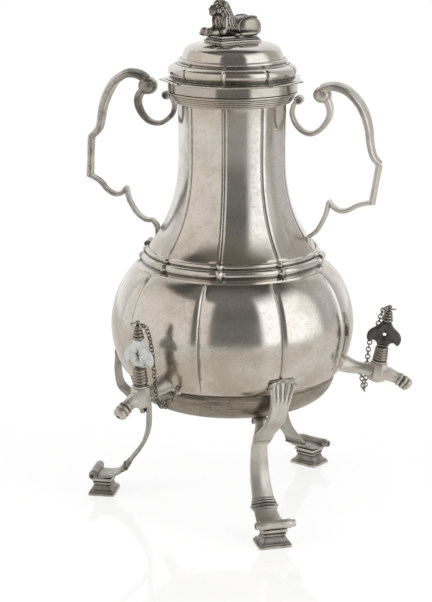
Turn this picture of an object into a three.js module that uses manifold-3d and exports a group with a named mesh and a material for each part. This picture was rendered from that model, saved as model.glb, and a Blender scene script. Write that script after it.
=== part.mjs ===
// A lidded coffee urn on three legs, with three taps, two scroll handles and a lion on its lid.
// Millimetres, +Z up. Angles are in degrees about the urn's axis, from -Y towards +X.

import * as THREE from "three";
import { mergeVertices } from "three/addons/utils/BufferGeometryUtils.js";
import Module from "manifold-3d";

const wasm = await Module();
wasm.setup();

// Gaps between pieces
const SOLDER_GAP = 0.3;
const LID_GAP = 0.4;
const PLUG_GAP = 0.3;

// Fineness of the curves
const LOBES = 9;
const STEPS_PER_LOBE = 4;
const ROUND_STEPS = 36;
const SMALL_STEPS = 12;

// Vessel. The belly's foot lies just below the taps' axes.
const TAP_BLOCK_HEIGHT = 114.5;
const TAP_OVER_BELLY_FOOT = 1.5;
const SHEET = 1.8;
const BELLY_SEAM_TURN = 30;
const NECK_SEAM_TURN = 38;
const BELLY_BOTTOM = TAP_BLOCK_HEIGHT - TAP_OVER_BELLY_FOOT;
const BELLY_EQUATOR = 150;
const BELLY_TOP = 201;
const BELLY_RADIUS = 96;
const BELLY_FOOT_RADIUS = 83;
const BELLY_MOUTH_RADIUS = 66.2;
const BELLY_LOWER_FULLNESS = 1.7;
const BELLY_UPPER_FULLNESS = 1.85;
const BELLY_SEAM_DEPTH = 2.6;
const PAN_DEPTH = 26;
const PAN_FLAT_RADIUS = 54;

const SHOULDER_HEIGHT = 10.6;
const SHOULDER_LOWER_BEAD = 3;
const SHOULDER_UPPER_BEAD = 2.3;
const SHOULDER_CUSP = 1;

const NECK_RADIUS = 41.4;
const NECK_FOOT_RADIUS = 65.5;
const NECK_WAIST = 290;
const NECK_FLARE_POWER = 2.6;
const NECK_MOUTH_FLARE = 0.9;
const NECK_SEAM_DEPTH = 0.9;
const NECK_TOP = 333.4;

const COLLAR_RADIUS = 50;
const COLLAR_HEIGHT = 16.4;
const COLLAR_REED = 0.7;

// Lid
const LID_BAND_RADIUS = 50.1;
const LID_BAND_HEIGHT = 7;
const LID_TONGUE_DEPTH = 11;
const LID_SHEET = 1.6;
const FLANGE_RADIUS = 54.6;
const FLANGE_THICKNESS = 1.4;
const FLANGE_CUSP = 1.3;
const LID_SEAM_RISE = 0.9;
const OGEE_HEIGHT = 15;
const DOME_HEIGHT = 14;
const DOME_RADIUS = 38.4;
const DOME_FLAT_RADIUS = 21;
const STUD_RADIUS = 2;
const STUD_CLEARANCE = 0.3;
const NUT_RADIUS = 4.6;
const NUT_HEIGHT = 3.4;

// Lion
const LION_TURN = -54;
const PLINTH_LENGTH = 38;
const PLINTH_WIDTH = 20;
const PLINTH_STEP = 1.6;
const PLINTH_HEIGHT = 4.4;
const LION_HEIGHT = 28.5;

// Handles
const HANDLE_TURNS = { right: 84, left: -96 };
const HANDLE_WIDTH = 7.4;
const HANDLE_THICKNESS = 3.6;
const HANDLE_REACH = 115;

// Legs
const LEGS = [
  { name: "front", turn: 30, swing: -6 },
  { name: "left", turn: -90, swing: -3 },
  { name: "rear", turn: 150, swing: 1 },
];
const LEG_STRAP_THICKNESS = 3;
const LEG_SCROLL_THICKNESS = 3.2;
const PALMETTE_WIDTH = 22;
const LEG_STRAP_WIDTH = 14;
const LEG_SCROLL_WIDTH = 14;
const LEG_BAND_WIDTH = 19;
const LEG_ROLL_LENGTH = 26;
const LEG_ROLL_RADIUS = 3.6;
const LEG_WAIST_RADIUS = 69;
const LEG_JOINT_HEIGHT = 66;
const FOOT_RADIUS = 107;
const FOOT_HEIGHT = 11.4;
const FOOT_BASE = 22;
const FOOT_NECK = 13;
const FOOT_CAP = 17;

// Taps
const TAPS = [
  { name: "right", turn: 90, lean: 9, keyTurn: 0 },
  { name: "front", turn: -30, lean: 3, keyTurn: 90 },
  { name: "back", turn: -150, lean: 6, keyTurn: 0 },
];
const TAP_BLOCK_REACH = 116;
const TAP_BLOCK_SIZE = 13;
const TAP_BARREL_RADIUS = 5;
const TAP_ROOT_RADIUS = 9;
const TAP_SPOUT_LENGTH = 22.5;
const TAP_SPOUT_DROOP = 8;
const WATERWAY_RADIUS = 2.1;
const PLUG_TOP_RADIUS = 5.2;
const PLUG_TIP_RADIUS = 4.2;
const PLUG_NECK_HEIGHT = 14;
const PLUG_RING = 0.8;
const GRIP_WIDTH = 26.5;
const GRIP_HEIGHT = 18;
const GRIP_THICKNESS = 2.6;
const GRIP_HOLE_RADIUS = 1.5;
const KEY_FINIAL_HEIGHT = 13;
const KEY_FINIAL_RADIUS = 4;
const KEY_FINIAL_NECK = 1.2;

// Chains
const WIRE_RADIUS = 0.45;
const LINK_LENGTH = 6.8;
const LINK_WIDTH = 4.6;
const CHAIN_DROP = 16;
const CHAIN_LOW = TAP_BLOCK_HEIGHT - CHAIN_DROP;
const CHAIN_SIDE = 9.6;
const CHAIN_RING_RADIUS = 5.3;
const CHAIN_RING_TILT = 15;
const EYE_RADIUS = 2.6;
const EYE_WIRE = 0.55;
const EYE_SHIFT = 8;
const EYE_OVER_TAP = 1.5;
const EYE_HEIGHT = TAP_BLOCK_HEIGHT + EYE_OVER_TAP;

const SILVER = { color: 0x9c968c, roughness: 0.3, metalness: 1 };
const CAST_SILVER = { color: 0x8d867b, roughness: 0.42, metalness: 1 };
const DARK_SILVER = { color: 0x4a4744, roughness: 0.5, metalness: 1 };
const GRIP_METAL = { color: 0x5b5d5e, roughness: 0.55, metalness: 0.8 };

const rad = THREE.MathUtils.degToRad;
const urn = new THREE.Group();

// Solids and meshes

function solid(geometry) {
  const bare = new THREE.BufferGeometry();
  bare.setAttribute("position", geometry.getAttribute("position").clone());
  if (geometry.index) bare.setIndex(geometry.index.clone());
  const merged = mergeVertices(bare, 1e-4);
  const corners = [...merged.index.array];
  const triVerts = [];
  for (let i = 0; i < corners.length; i += 3) {
    const [a, b, c] = corners.slice(i, i + 3);
    if (a !== b && b !== c && c !== a) triVerts.push(a, b, c);
  }
  const vertProperties = merged.attributes.position.array;
  const make = (order) => new wasm.Manifold(
    new wasm.Mesh({ numProp: 3, vertProperties, triVerts: new Uint32Array(order) }),
  );
  const made = make(triVerts);
  return made.volume() < 0 ? make(triVerts.reverse()) : made;
}

function join(solids) {
  return solids.reduce((whole, next) => whole.add(next));
}

function geometryOf(made) {
  const mesh = made.getMesh();
  const geometry = new THREE.BufferGeometry();
  const position = new THREE.BufferAttribute(new Float32Array(mesh.vertProperties), mesh.numProp);
  geometry.setAttribute("position", position);
  geometry.setIndex([...mesh.triVerts]);
  geometry.computeVertexNormals();
  return geometry;
}

function add(name, made, look) {
  const mesh = new THREE.Mesh(geometryOf(made), new THREE.MeshStandardMaterial(look));
  mesh.name = name;
  urn.add(mesh);
}

// Angle and distance about the urn's axis

function station(turn) {
  return new THREE.Matrix4().makeRotationZ(rad(turn - 90));
}

function swung(made, swing, from, to) {
  return made.warp((v) => {
    const share = THREE.MathUtils.clamp((from - v[2]) / (from - to), 0, 1);
    const angle = rad(swing * share);
    const [x, y] = v;
    v[0] = x * Math.cos(angle) - y * Math.sin(angle);
    v[1] = x * Math.sin(angle) + y * Math.cos(angle);
  });
}

// Turned pieces. seam(z) is how far the surface stands out where two lobes meet.
function turned(outline, { steps = ROUND_STEPS, turn = 0, seam = null, power = 4 } = {}) {
  const points = outline.map(([r, z]) => new THREE.Vector2(r, z));
  const geometry = new THREE.LatheGeometry(points, steps, rad(turn), 2 * Math.PI);
  geometry.rotateX(Math.PI / 2);
  const position = geometry.getAttribute("position");
  const lobe = (2 * Math.PI) / LOBES;
  const closing = steps * points.length;
  for (let i = 0; i < points.length; i += 1) {
    position.setXYZ(closing + i, position.getX(i), position.getY(i), position.getZ(i));
  }
  for (let i = 0; seam && i < position.count; i += 1) {
    const [x, y, z] = [position.getX(i), position.getY(i), position.getZ(i)];
    const r = Math.hypot(x, y);
    const angle = Math.atan2(x, -y) - rad(turn);
    const offSeam = angle / lobe - Math.round(angle / lobe);
    const shift = r > 1 ? seam(z) * (1 - 2 * Math.abs(offSeam)) ** power : 0;
    const scale = r > 1 ? (r + shift) / r : 1;
    position.setXY(i, x * scale, y * scale);
  }
  return solid(geometry);
}

const lobed = (turn, seam, power) => ({ steps: LOBES * STEPS_PER_LOBE, turn, seam, power });

function offset(outline, distance) {
  return outline.map(([r, z], i) => {
    const before = outline[Math.max(i - 1, 0)];
    const after = outline[Math.min(i + 1, outline.length - 1)];
    const [dr, dz] = [after[0] - before[0], after[1] - before[1]];
    const length = Math.hypot(dr, dz);
    return [r > 0 ? r + (distance * dz) / length : 0, z - (distance * dr) / length];
  });
}

// Every second point of an outline, and both its ends.
function thinned(outline) {
  return outline.filter((_, i) => i % 2 === 0 || i === outline.length - 1);
}

function shell(outer, wall) {
  return [...outer, ...thinned(offset(outer, -wall)).reverse(), outer[0]];
}

function filled(outer, gap) {
  const skin = offset(outer, gap);
  return [[0, skin[0][1]], ...skin, [0, skin.at(-1)[1]]];
}

const spread = (from, to, count) =>
  Array.from({ length: count + 1 }, (_, i) => from + ((to - from) * i) / count);

// Outlines of the vessel

function bellyRadius(z) {
  const low = z < BELLY_EQUATOR;
  const edge = low ? BELLY_FOOT_RADIUS : BELLY_MOUTH_RADIUS;
  const power = low ? BELLY_LOWER_FULLNESS : BELLY_UPPER_FULLNESS;
  const reach = low ? BELLY_EQUATOR - BELLY_BOTTOM : BELLY_TOP - BELLY_EQUATOR;
  const share = Math.min(Math.abs(z - BELLY_EQUATOR) / reach, 1);
  return edge + (BELLY_RADIUS - edge) * (1 - share ** power) ** (1 / power);
}

const eased = (from, to, count) =>
  spread(0, 90, count).map((a) => from + (to - from) * Math.sin(rad(a)));

const bellyHeights = [
  ...eased(BELLY_EQUATOR, BELLY_BOTTOM, 5).reverse(),
  ...eased(BELLY_EQUATOR, BELLY_TOP, 6).slice(1),
];
const bellyOutline = bellyHeights.map((z) => [bellyRadius(z), z]);

const panRim = BELLY_BOTTOM - SOLDER_GAP;
const panBottom = BELLY_BOTTOM - PAN_DEPTH;
const panRimRadius = BELLY_FOOT_RADIUS - SHEET / 2;
const panOutline = [
  [0, panBottom],
  ...spread(0, 1, 5).map((s) => [
    PAN_FLAT_RADIUS + (panRimRadius - PAN_FLAT_RADIUS) * Math.sin(rad(90 * s)) ** 0.9,
    panBottom + 1.5 + (panRim - panBottom - 1.5) * (1 - Math.cos(rad(90 * s))),
  ]),
];

const neckFoot = BELLY_TOP + SHOULDER_HEIGHT;
const collarTop = NECK_TOP + 0.4;
const collarBottom = collarTop - COLLAR_HEIGHT;
function neckRadius(z) {
  if (z > NECK_WAIST) {
    const rise = (z - NECK_WAIST) / (NECK_TOP - NECK_WAIST);
    return NECK_RADIUS + NECK_MOUTH_FLARE * rise ** 2;
  }
  const drop = (NECK_WAIST - z) / (NECK_WAIST - neckFoot);
  return NECK_RADIUS + (NECK_FOOT_RADIUS - NECK_RADIUS) * drop ** NECK_FLARE_POWER;
}
const neckOutline = [
  [NECK_FOOT_RADIUS, BELLY_TOP + SOLDER_GAP],
  ...spread(neckFoot, NECK_WAIST, 5).map((z) => [neckRadius(z), z]),
  [neckRadius(collarBottom), collarBottom],
  [neckRadius(NECK_TOP), NECK_TOP],
];

const bellyFade = (z) => Math.sin(Math.PI * THREE.MathUtils.clamp(
  (z - BELLY_BOTTOM + 10) / (BELLY_TOP - BELLY_BOTTOM + 16), 0, 1)) ** 0.5;
const bellySeam = (z) => -BELLY_SEAM_DEPTH * bellyFade(z);
const neckSeam = (z) => -NECK_SEAM_DEPTH
  * THREE.MathUtils.clamp((NECK_TOP - z) / COLLAR_HEIGHT, 0, 1)
  * THREE.MathUtils.clamp((z - neckFoot + 6) / 10, 0, 1);
const bellyLobes = lobed(BELLY_SEAM_TURN, bellySeam, 5);
const neckLobes = lobed(NECK_SEAM_TURN, neckSeam, 5);
const shoulderCusps = lobed(NECK_SEAM_TURN, () => SHOULDER_CUSP, 8);

// Half a bead, from its foot to its top, as outline points.
function bead(r, z, size, from = -90, to = 90, count = 3) {
  return spread(from, to, count).map((a) => [r + size * Math.cos(rad(a)), z + size * Math.sin(rad(a))]);
}

const lowerBeadHeight = BELLY_TOP + SHOULDER_LOWER_BEAD - 0.6;
const upperBeadHeight = neckFoot - SHOULDER_UPPER_BEAD;
const shoulderRoot = NECK_FOOT_RADIUS + SOLDER_GAP;
const shoulderOutline = [
  [shoulderRoot, BELLY_TOP + SOLDER_GAP],
  ...bead(shoulderRoot + SHOULDER_LOWER_BEAD, lowerBeadHeight, SHOULDER_LOWER_BEAD, -50, 90),
  ...bead(shoulderRoot + 1, upperBeadHeight, SHOULDER_UPPER_BEAD, -50, 80),
  [shoulderRoot, neckFoot + 0.3],
];

const collarHole = neckRadius(NECK_TOP) + SOLDER_GAP;
const collarOutline = [
  [collarHole, collarBottom],
  [collarHole + 3.4, collarBottom + 2.6],
  ...[0.36, 0.58, 0.8].flatMap((share) => [
    [COLLAR_RADIUS - 3.4 * (1 - share) - COLLAR_REED, collarBottom + COLLAR_HEIGHT * share - 1.2],
    [COLLAR_RADIUS - 3.4 * (1 - share) + COLLAR_REED / 2, collarBottom + COLLAR_HEIGHT * share],
  ]),
  [COLLAR_RADIUS, collarTop],
];

// What the soldered pieces are cut back from
const vesselEnvelope = join([
  turned(filled(bellyOutline, SOLDER_GAP), bellyLobes),
  turned([...offset(panOutline, SOLDER_GAP), [0, panRim]], {}),
  turned(filled(neckOutline, SOLDER_GAP), neckLobes),
  turned(filled(shoulderOutline, SOLDER_GAP), shoulderCusps),
  turned(filled(collarOutline, SOLDER_GAP), {}),
]);

// Taps

const tapFrame = ({ turn, lean }) => station(turn)
  .multiply(new THREE.Matrix4().makeTranslation(TAP_BLOCK_REACH, 0, TAP_BLOCK_HEIGHT))
  .multiply(new THREE.Matrix4().makeRotationY(rad(lean)));

const moved = (made, matrix) => made.transform(matrix.elements);

// A round piece along local +X, from [x, radius] pairs.
function turnedAlong(outline, steps = SMALL_STEPS) {
  const closed = [[outline[0][0], 0], ...outline, [outline.at(-1)[0], 0]];
  return turned(closed.map(([x, r]) => [r, x]), { steps, turn: 360 / steps / 2 })
    .rotate([0, 90, 0]);
}

const blockHalf = TAP_BLOCK_SIZE / 2;
const seatTop = blockHalf + 2.6;
const seatBottom = -blockHalf + 1.2;
const plugTip = seatBottom + PLUG_GAP;
const plugShoulder = seatTop + PLUG_GAP;

function waterway(from, to) {
  return turnedAlong([[from, WATERWAY_RADIUS], [to, WATERWAY_RADIUS]], 10);
}

const rootReach = TAP_BLOCK_REACH - bellyRadius(TAP_BLOCK_HEIGHT + 5);
const droop = new THREE.Matrix4().makeRotationY(rad(TAP_SPOUT_DROOP));

function tapBody() {
  const barrel = turnedAlong([
    [-rootReach - 6, TAP_ROOT_RADIUS + 1.6],
    [-rootReach, TAP_ROOT_RADIUS - 1],
    [-rootReach + 5, TAP_BARREL_RADIUS + 1.2],
    [-rootReach + 11, TAP_BARREL_RADIUS],
    [-blockHalf, TAP_BARREL_RADIUS + 0.4],
    [0, TAP_BARREL_RADIUS + 0.4],
  ]);
  const side = new THREE.Shape([
    [-0.62, -1.08], [0.62, -1.08], [1, -0.66], [1, 0.8], [0.74, 1], [-0.74, 1], [-1, 0.8], [-1, -0.66],
  ].map(([y, z]) => new THREE.Vector2(y * blockHalf, z * blockHalf)));
  const block = new THREE.ExtrudeGeometry(side, { depth: TAP_BLOCK_SIZE, bevelEnabled: false });
  block.translate(0, 0, -blockHalf).rotateZ(Math.PI / 2).rotateY(Math.PI / 2);
  const socket = turned([
    [0, 0], [blockHalf + 0.3, 0], [blockHalf + 0.3, seatTop - 1], [blockHalf - 0.2, seatTop], [0, seatTop],
  ], { steps: SMALL_STEPS });
  const spoutEnd = blockHalf + TAP_SPOUT_LENGTH;
  const ring = TAP_BARREL_RADIUS - 0.2;
  const throat = ring - 0.8;
  const spout = moved(turnedAlong([
    [0, TAP_BARREL_RADIUS + 0.3], [blockHalf + 2, TAP_BARREL_RADIUS + 0.1],
    [blockHalf + 8, throat], [spoutEnd - 9, throat - 0.1],
    [spoutEnd - 8, ring], [spoutEnd - 6.4, ring], [spoutEnd - 5.6, throat],
    [spoutEnd - 4.4, ring], [spoutEnd - 2.6, ring], [spoutEnd - 2, throat],
    [spoutEnd - 1, ring - 0.2], [spoutEnd, ring - 0.6],
  ]), droop);
  const seat = turned([
    [0, seatBottom], [PLUG_TIP_RADIUS, seatBottom], [PLUG_TOP_RADIUS, seatTop],
    [PLUG_TOP_RADIUS, seatTop + 1], [0, seatTop + 1],
  ], { steps: SMALL_STEPS });
  return join([barrel, solid(block), socket, spout])
    .subtract(seat)
    .subtract(waterway(-rootReach - 10, 0))
    .subtract(moved(waterway(0, spoutEnd + 1), droop));
}

const neckEnd = plugShoulder + PLUG_NECK_HEIGHT;
const gripBottom = neckEnd + SOLDER_GAP;
const gripTop = gripBottom + GRIP_HEIGHT;
const finialBottom = gripTop + SOLDER_GAP;
const finialTop = finialBottom + KEY_FINIAL_HEIGHT;
const finialNeck = finialTop - 4;

function keyPlug() {
  const tip = PLUG_TIP_RADIUS - PLUG_GAP;
  const top = PLUG_TOP_RADIUS - PLUG_GAP;
  const rings = spread(plugShoulder + 1.8, neckEnd - 2, 3).flatMap((z) => [
    [top - 0.3, z - 1.3], [top + PLUG_RING - 0.3, z - 0.4], [top + PLUG_RING - 0.3, z + 0.6],
  ]);
  const plug = turned([
    [0, plugTip], [tip, plugTip], [top, seatTop], [top, plugShoulder], ...rings,
    [top - 0.6, neckEnd], [0, neckEnd],
  ], { steps: SMALL_STEPS });
  return plug.subtract(waterway(-PLUG_TOP_RADIUS - 1, PLUG_TOP_RADIUS + 1));
}

function keyGrip() {
  const half = GRIP_WIDTH / 2;
  const middle = gripBottom + GRIP_HEIGHT * 0.56;
  const stem = PLUG_TOP_RADIUS - 1;
  const outline = new THREE.Shape();
  outline.moveTo(stem, gripBottom);
  outline.quadraticCurveTo(stem + 1.2, gripBottom + 4.2, half - 1.6, gripBottom + 1.8);
  outline.quadraticCurveTo(half + 0.6, gripBottom + 5.5, half, middle + 1);
  outline.quadraticCurveTo(half - 1, gripTop - 4, stem + 2, gripTop - 3.4);
  outline.quadraticCurveTo(stem - 0.6, gripTop - 2.2, stem - 1, gripTop);
  const right = outline.getPoints(4);
  const left = right.map((p) => new THREE.Vector2(-p.x, p.y)).reverse();
  const plate = new THREE.Shape([...right, ...left]);
  const hole = new THREE.Path().absarc(0, middle, GRIP_HOLE_RADIUS, 0, 2 * Math.PI, true);
  plate.holes.push(hole);
  const body = new THREE.ExtrudeGeometry(plate, {
    depth: GRIP_THICKNESS, bevelEnabled: false, curveSegments: 4,
  });
  body.translate(0, 0, -GRIP_THICKNESS / 2).rotateX(Math.PI / 2);
  return solid(body);
}

function keyFinial() {
  const taper = (z) => THREE.MathUtils.lerp(KEY_FINIAL_RADIUS, KEY_FINIAL_NECK + 0.9,
    (z - finialBottom) / (finialNeck - finialBottom));
  const rings = spread(finialBottom + 1.2, finialNeck - 2.4, 2).flatMap((z) => [
    [taper(z) - 0.6, z - 0.9], [taper(z) + 0.2, z - 0.1], [taper(z) - 0.7, z + 1],
  ]);
  return turned([
    [0, finialBottom], [KEY_FINIAL_RADIUS - 0.6, finialBottom], ...rings,
    [KEY_FINIAL_NECK, finialNeck - 1.4], [KEY_FINIAL_NECK, finialNeck + 1.4],
    [1.9, finialTop - 1.4], [0, finialTop],
  ], { steps: 8 });
}

// A ring or link: wire bent round an oval in the XY plane.
function link(length, width, wire, steps = 6, sides = 4) {
  const straight = Math.max((length - width) / 2, 0);
  const radius = width / 2 - wire;
  const centres = spread(0, 360, steps).slice(0, -1).map((a) => {
    const [c, s] = [Math.cos(rad(a)), Math.sin(rad(a))];
    return [radius * c + Math.sign(c) * straight, radius * s, c, s];
  });
  const position = [];
  centres.forEach(([x, y, c, s]) => spread(0, 360, sides).slice(0, -1).forEach((b) => {
    const out = wire * Math.cos(rad(b));
    position.push(x + out * c, y + out * s, wire * Math.sin(rad(b)));
  }));
  const index = [];
  for (let i = 0; i < steps; i += 1) {
    for (let j = 0; j < sides; j += 1) {
      const [a, b] = [i * sides + j, i * sides + ((j + 1) % sides)];
      const [c, d] = [((i + 1) % steps) * sides + j, ((i + 1) % steps) * sides + ((j + 1) % sides)];
      index.push(a, c, b, b, c, d);
    }
  }
  const geometry = new THREE.BufferGeometry();
  geometry.setAttribute("position", new THREE.Float32BufferAttribute(position, 3));
  geometry.setIndex(index);
  return solid(geometry);
}

const eyeReach = bellyRadius(EYE_HEIGHT) + EYE_RADIUS + 0.6;
const eyeCentre = new THREE.Vector3(
  eyeReach * Math.cos(rad(EYE_SHIFT)), eyeReach * Math.sin(rad(EYE_SHIFT)), EYE_HEIGHT);

// The chain's route in the tap's own upright plane: x outward, y to the chain's side.
function chainRoute(tap) {
  const leaned = new THREE.Matrix4().makeRotationY(rad(tap.lean))
    .setPosition(TAP_BLOCK_REACH, 0, TAP_BLOCK_HEIGHT);
  const beside = (out, z) => new THREE.Vector3(-out, out, finialNeck + z).applyMatrix4(leaned);
  const below = (x, y, z) => new THREE.Vector3(TAP_BLOCK_REACH + x, y, z);
  return new THREE.CatmullRomCurve3([
    beside(2.4, -0.4),
    beside(5.6, -3.4),
    beside(7.6, -16),
    below(-4, CHAIN_SIDE - 0.6, TAP_BLOCK_HEIGHT + 18),
    below(-4.5, CHAIN_SIDE, TAP_BLOCK_HEIGHT + 4),
    below(-7.6, CHAIN_SIDE + 0.4, CHAIN_LOW + 6),
    below(-14.6, CHAIN_SIDE + 1, CHAIN_LOW),
    below(-21.6, CHAIN_SIDE + 2.4, CHAIN_LOW + 4.6),
    eyeCentre.clone().add(new THREE.Vector3(-0.4, 0.4, -0.6)),
  ]);
}

function chain(tap) {
  const route = chainRoute(tap);
  const pitch = LINK_LENGTH - 2 * WIRE_RADIUS;
  const count = Math.ceil((route.getLength() - LINK_LENGTH) / pitch / 2) * 2 + 1;
  const aside = new THREE.Vector3(1, 1, 0).normalize();
  const inset = LINK_LENGTH / 2 / route.getLength();
  const links = spread(inset, 1 - inset, count - 1).map((share, i) => {
    const along = route.getTangentAt(share);
    const flat = aside.clone().addScaledVector(along, -aside.dot(along)).normalize();
    const face = i % 2 ? new THREE.Vector3().crossVectors(along, flat) : flat;
    const across = new THREE.Vector3().crossVectors(face, along);
    const place = new THREE.Matrix4().makeBasis(along, across, face).setPosition(route.getPointAt(share));
    return moved(link(LINK_LENGTH, LINK_WIDTH, WIRE_RADIUS), place);
  });
  return moved(join(links), station(tap.turn));
}

function chainRing(tap) {
  const tilt = new THREE.Matrix4().makeTranslation(0, 0, finialNeck)
    .multiply(new THREE.Matrix4().makeRotationAxis(new THREE.Vector3(1, 1, 0).normalize(), rad(-CHAIN_RING_TILT)));
  const ring = link(2 * (CHAIN_RING_RADIUS + WIRE_RADIUS), 2 * (CHAIN_RING_RADIUS + WIRE_RADIUS),
    WIRE_RADIUS, 10);
  return moved(moved(ring, tilt), tapFrame(tap));
}

function chainEye(tap) {
  const size = 2 * (EYE_RADIUS + EYE_WIRE);
  const ring = link(size, size, EYE_WIRE, 8).rotate([90, 0, 45]);
  const pad = turnedAlong([[-EYE_RADIUS - 3, 3], [-EYE_RADIUS * 0.7, 2.2]], 8);
  const placed = new THREE.Matrix4().makeRotationZ(rad(EYE_SHIFT)).setPosition(eyeCentre);
  return moved(moved(join([ring, pad]), placed), station(tap.turn)).subtract(vesselEnvelope);
}

// Vessel pieces

const tapWays = TAPS.map((tap) => moved(waterway(-rootReach - 12, 0), tapFrame(tap)));
add("belly", turned(shell(bellyOutline, SHEET), bellyLobes).subtract(join(tapWays)), SILVER);
add("bottom_pan", turned([...panOutline, ...thinned(offset(panOutline, -SHEET)).reverse()], {}), SILVER);
add("neck", turned(shell(neckOutline, SHEET), neckLobes), SILVER);
add("shoulder_moulding", turned([...shoulderOutline, shoulderOutline[0]], shoulderCusps), SILVER);
add("neck_collar", turned([...collarOutline, [collarHole, collarTop], collarOutline[0]], {}), SILVER);

// Lid pieces

const bandBottom = collarTop + LID_GAP;
const bandTop = bandBottom + LID_BAND_HEIGHT;
const tongueRadius = NECK_RADIUS - SHEET - LID_GAP;
add("lid_bezel", turned([
  [LID_BAND_RADIUS, bandBottom], [LID_BAND_RADIUS, bandTop],
  [tongueRadius - LID_SHEET, bandTop], [tongueRadius - LID_SHEET, bandBottom - LID_TONGUE_DEPTH],
  [tongueRadius, bandBottom - LID_TONGUE_DEPTH], [tongueRadius, bandTop - LID_SHEET],
  [LID_BAND_RADIUS - LID_SHEET, bandTop - LID_SHEET], [LID_BAND_RADIUS - LID_SHEET, bandBottom],
  [LID_BAND_RADIUS, bandBottom],
], {}), SILVER);

const domeBottom = bandTop + SOLDER_GAP;
const ogeeTop = domeBottom + OGEE_HEIGHT;
const domeTop = ogeeTop + DOME_HEIGHT;
const ogeeRadius = LID_BAND_RADIUS - 0.9;
const lidOutline = [
  [ogeeRadius, domeBottom + FLANGE_THICKNESS],
  [ogeeRadius + 0.8, domeBottom + 5],
  [ogeeRadius - 0.6, domeBottom + 8.6],
  [ogeeRadius - 3.6, domeBottom + 11.4],
  [DOME_RADIUS + 3.2, ogeeTop - 1.4],
  [DOME_RADIUS + 2.6, ogeeTop],
  [DOME_RADIUS, ogeeTop + 0.8],
  [DOME_RADIUS - 0.8, ogeeTop + 5],
  [DOME_RADIUS - 4, domeTop - 4],
  [DOME_RADIUS - 9.5, domeTop - 1.2],
  [DOME_FLAT_RADIUS, domeTop],
  [STUD_RADIUS + STUD_CLEARANCE, domeTop],
];
const lidInside = thinned(offset(lidOutline.slice(1), -LID_SHEET)).reverse();
const lidSeam = (z) => (z < domeBottom + FLANGE_THICKNESS + 0.2 ? FLANGE_CUSP
  : LID_SEAM_RISE * THREE.MathUtils.clamp((ogeeTop + 2 - z) / 3, 0, 1));
add("lid_dome", turned([
  [FLANGE_RADIUS, domeBottom], [FLANGE_RADIUS, domeBottom + FLANGE_THICKNESS],
  ...lidOutline, ...lidInside,
  [ogeeRadius - LID_SHEET, domeBottom], [FLANGE_RADIUS, domeBottom],
], lobed(NECK_SEAM_TURN, lidSeam, 7)), SILVER);

const plinthBottom = domeTop + SOLDER_GAP;
const studTop = plinthBottom + PLINTH_HEIGHT - 1;
const nutTop = domeTop - LID_SHEET - SOLDER_GAP;
const studBottom = nutTop - NUT_HEIGHT - 2;
const nutHole = STUD_RADIUS + STUD_CLEARANCE;
const rod = (radius, from, to, steps) => turned([[0, from], [radius, from], [radius, to], [0, to]], { steps });
add("finial_nut", rod(NUT_RADIUS, nutTop - NUT_HEIGHT, nutTop, 6)
  .subtract(rod(nutHole, nutTop - NUT_HEIGHT - 1, nutTop + 1, 12)), CAST_SILVER);
add("finial_stud", rod(STUD_RADIUS, studBottom, studTop, 12), CAST_SILVER);

// Recumbent lion: [forward, aside, up] and [length, breadth, height] of each swelling, as half sizes.
// A swelling that stands aside has a twin on the other side.
const LION = [
  { at: [-4, 0, 10], size: [17, 7, 6.6] },
  { at: [-12, 4.6, 10.2], size: [9.6, 4.6, 7.6] },
  { at: [8, 0, 13.5], size: [8.6, 7.8, 9] },
  { at: [9.6, 0, 20.6], size: [7, 7, 7.4] },
  { at: [13.6, 0, 22], size: [6.4, 5.6, 6.4] },
  { at: [19, 0, 19.8], size: [4, 3.2, 3] },
  { at: [14, 5, 6.6], size: [8.6, 2.8, 3] },
  { at: [21.4, 2.8, 6.2], size: [3.6, 3, 2.6] },
  { at: [-5, 8, 6], size: [6.4, 2.4, 2.2] },
  { at: [10.4, 5.4, 26.2], size: [1.7, 1.3, 1.5] },
];

function lion() {
  const unit = solid(new THREE.SphereGeometry(1, 7, 4));
  const swelling = ([x, y, z], size) => unit.scale(size).translate([x, y, z]);
  const swellings = LION.flatMap(({ at: [x, y, z], size }) => (
    y === 0 ? [swelling([x, y, z], size)] : [swelling([x, y, z], size), swelling([x, -y, z], size)]
  ));
  const step = (inset, height) => solid(
    new THREE.BoxGeometry(PLINTH_LENGTH - inset, PLINTH_WIDTH - inset, height).translate(0, 0, height / 2));
  const scale = LION_HEIGHT / 28.4;
  const socket = rod(nutHole, -1, PLINTH_HEIGHT - 0.7, 12);
  const below = solid(new THREE.BoxGeometry(90, 90, 20).translate(0, 0, PLINTH_HEIGHT - 12));
  const beast = join(swellings).scale([scale, scale, scale]).subtract(below);
  return join([step(0, PLINTH_STEP), step(2.6, PLINTH_HEIGHT), beast]).subtract(socket);
}
add("lion_finial", moved(lion().translate([0, 0, plinthBottom]), station(LION_TURN)), CAST_SILVER);

// Straps bent in the upright plane through the axis

const smooth = (points, count) =>
  new THREE.SplineCurve(points.map(([r, z]) => new THREE.Vector2(r, z))).getPoints(count)
    .map((p) => [p.x, p.y]);

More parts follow.
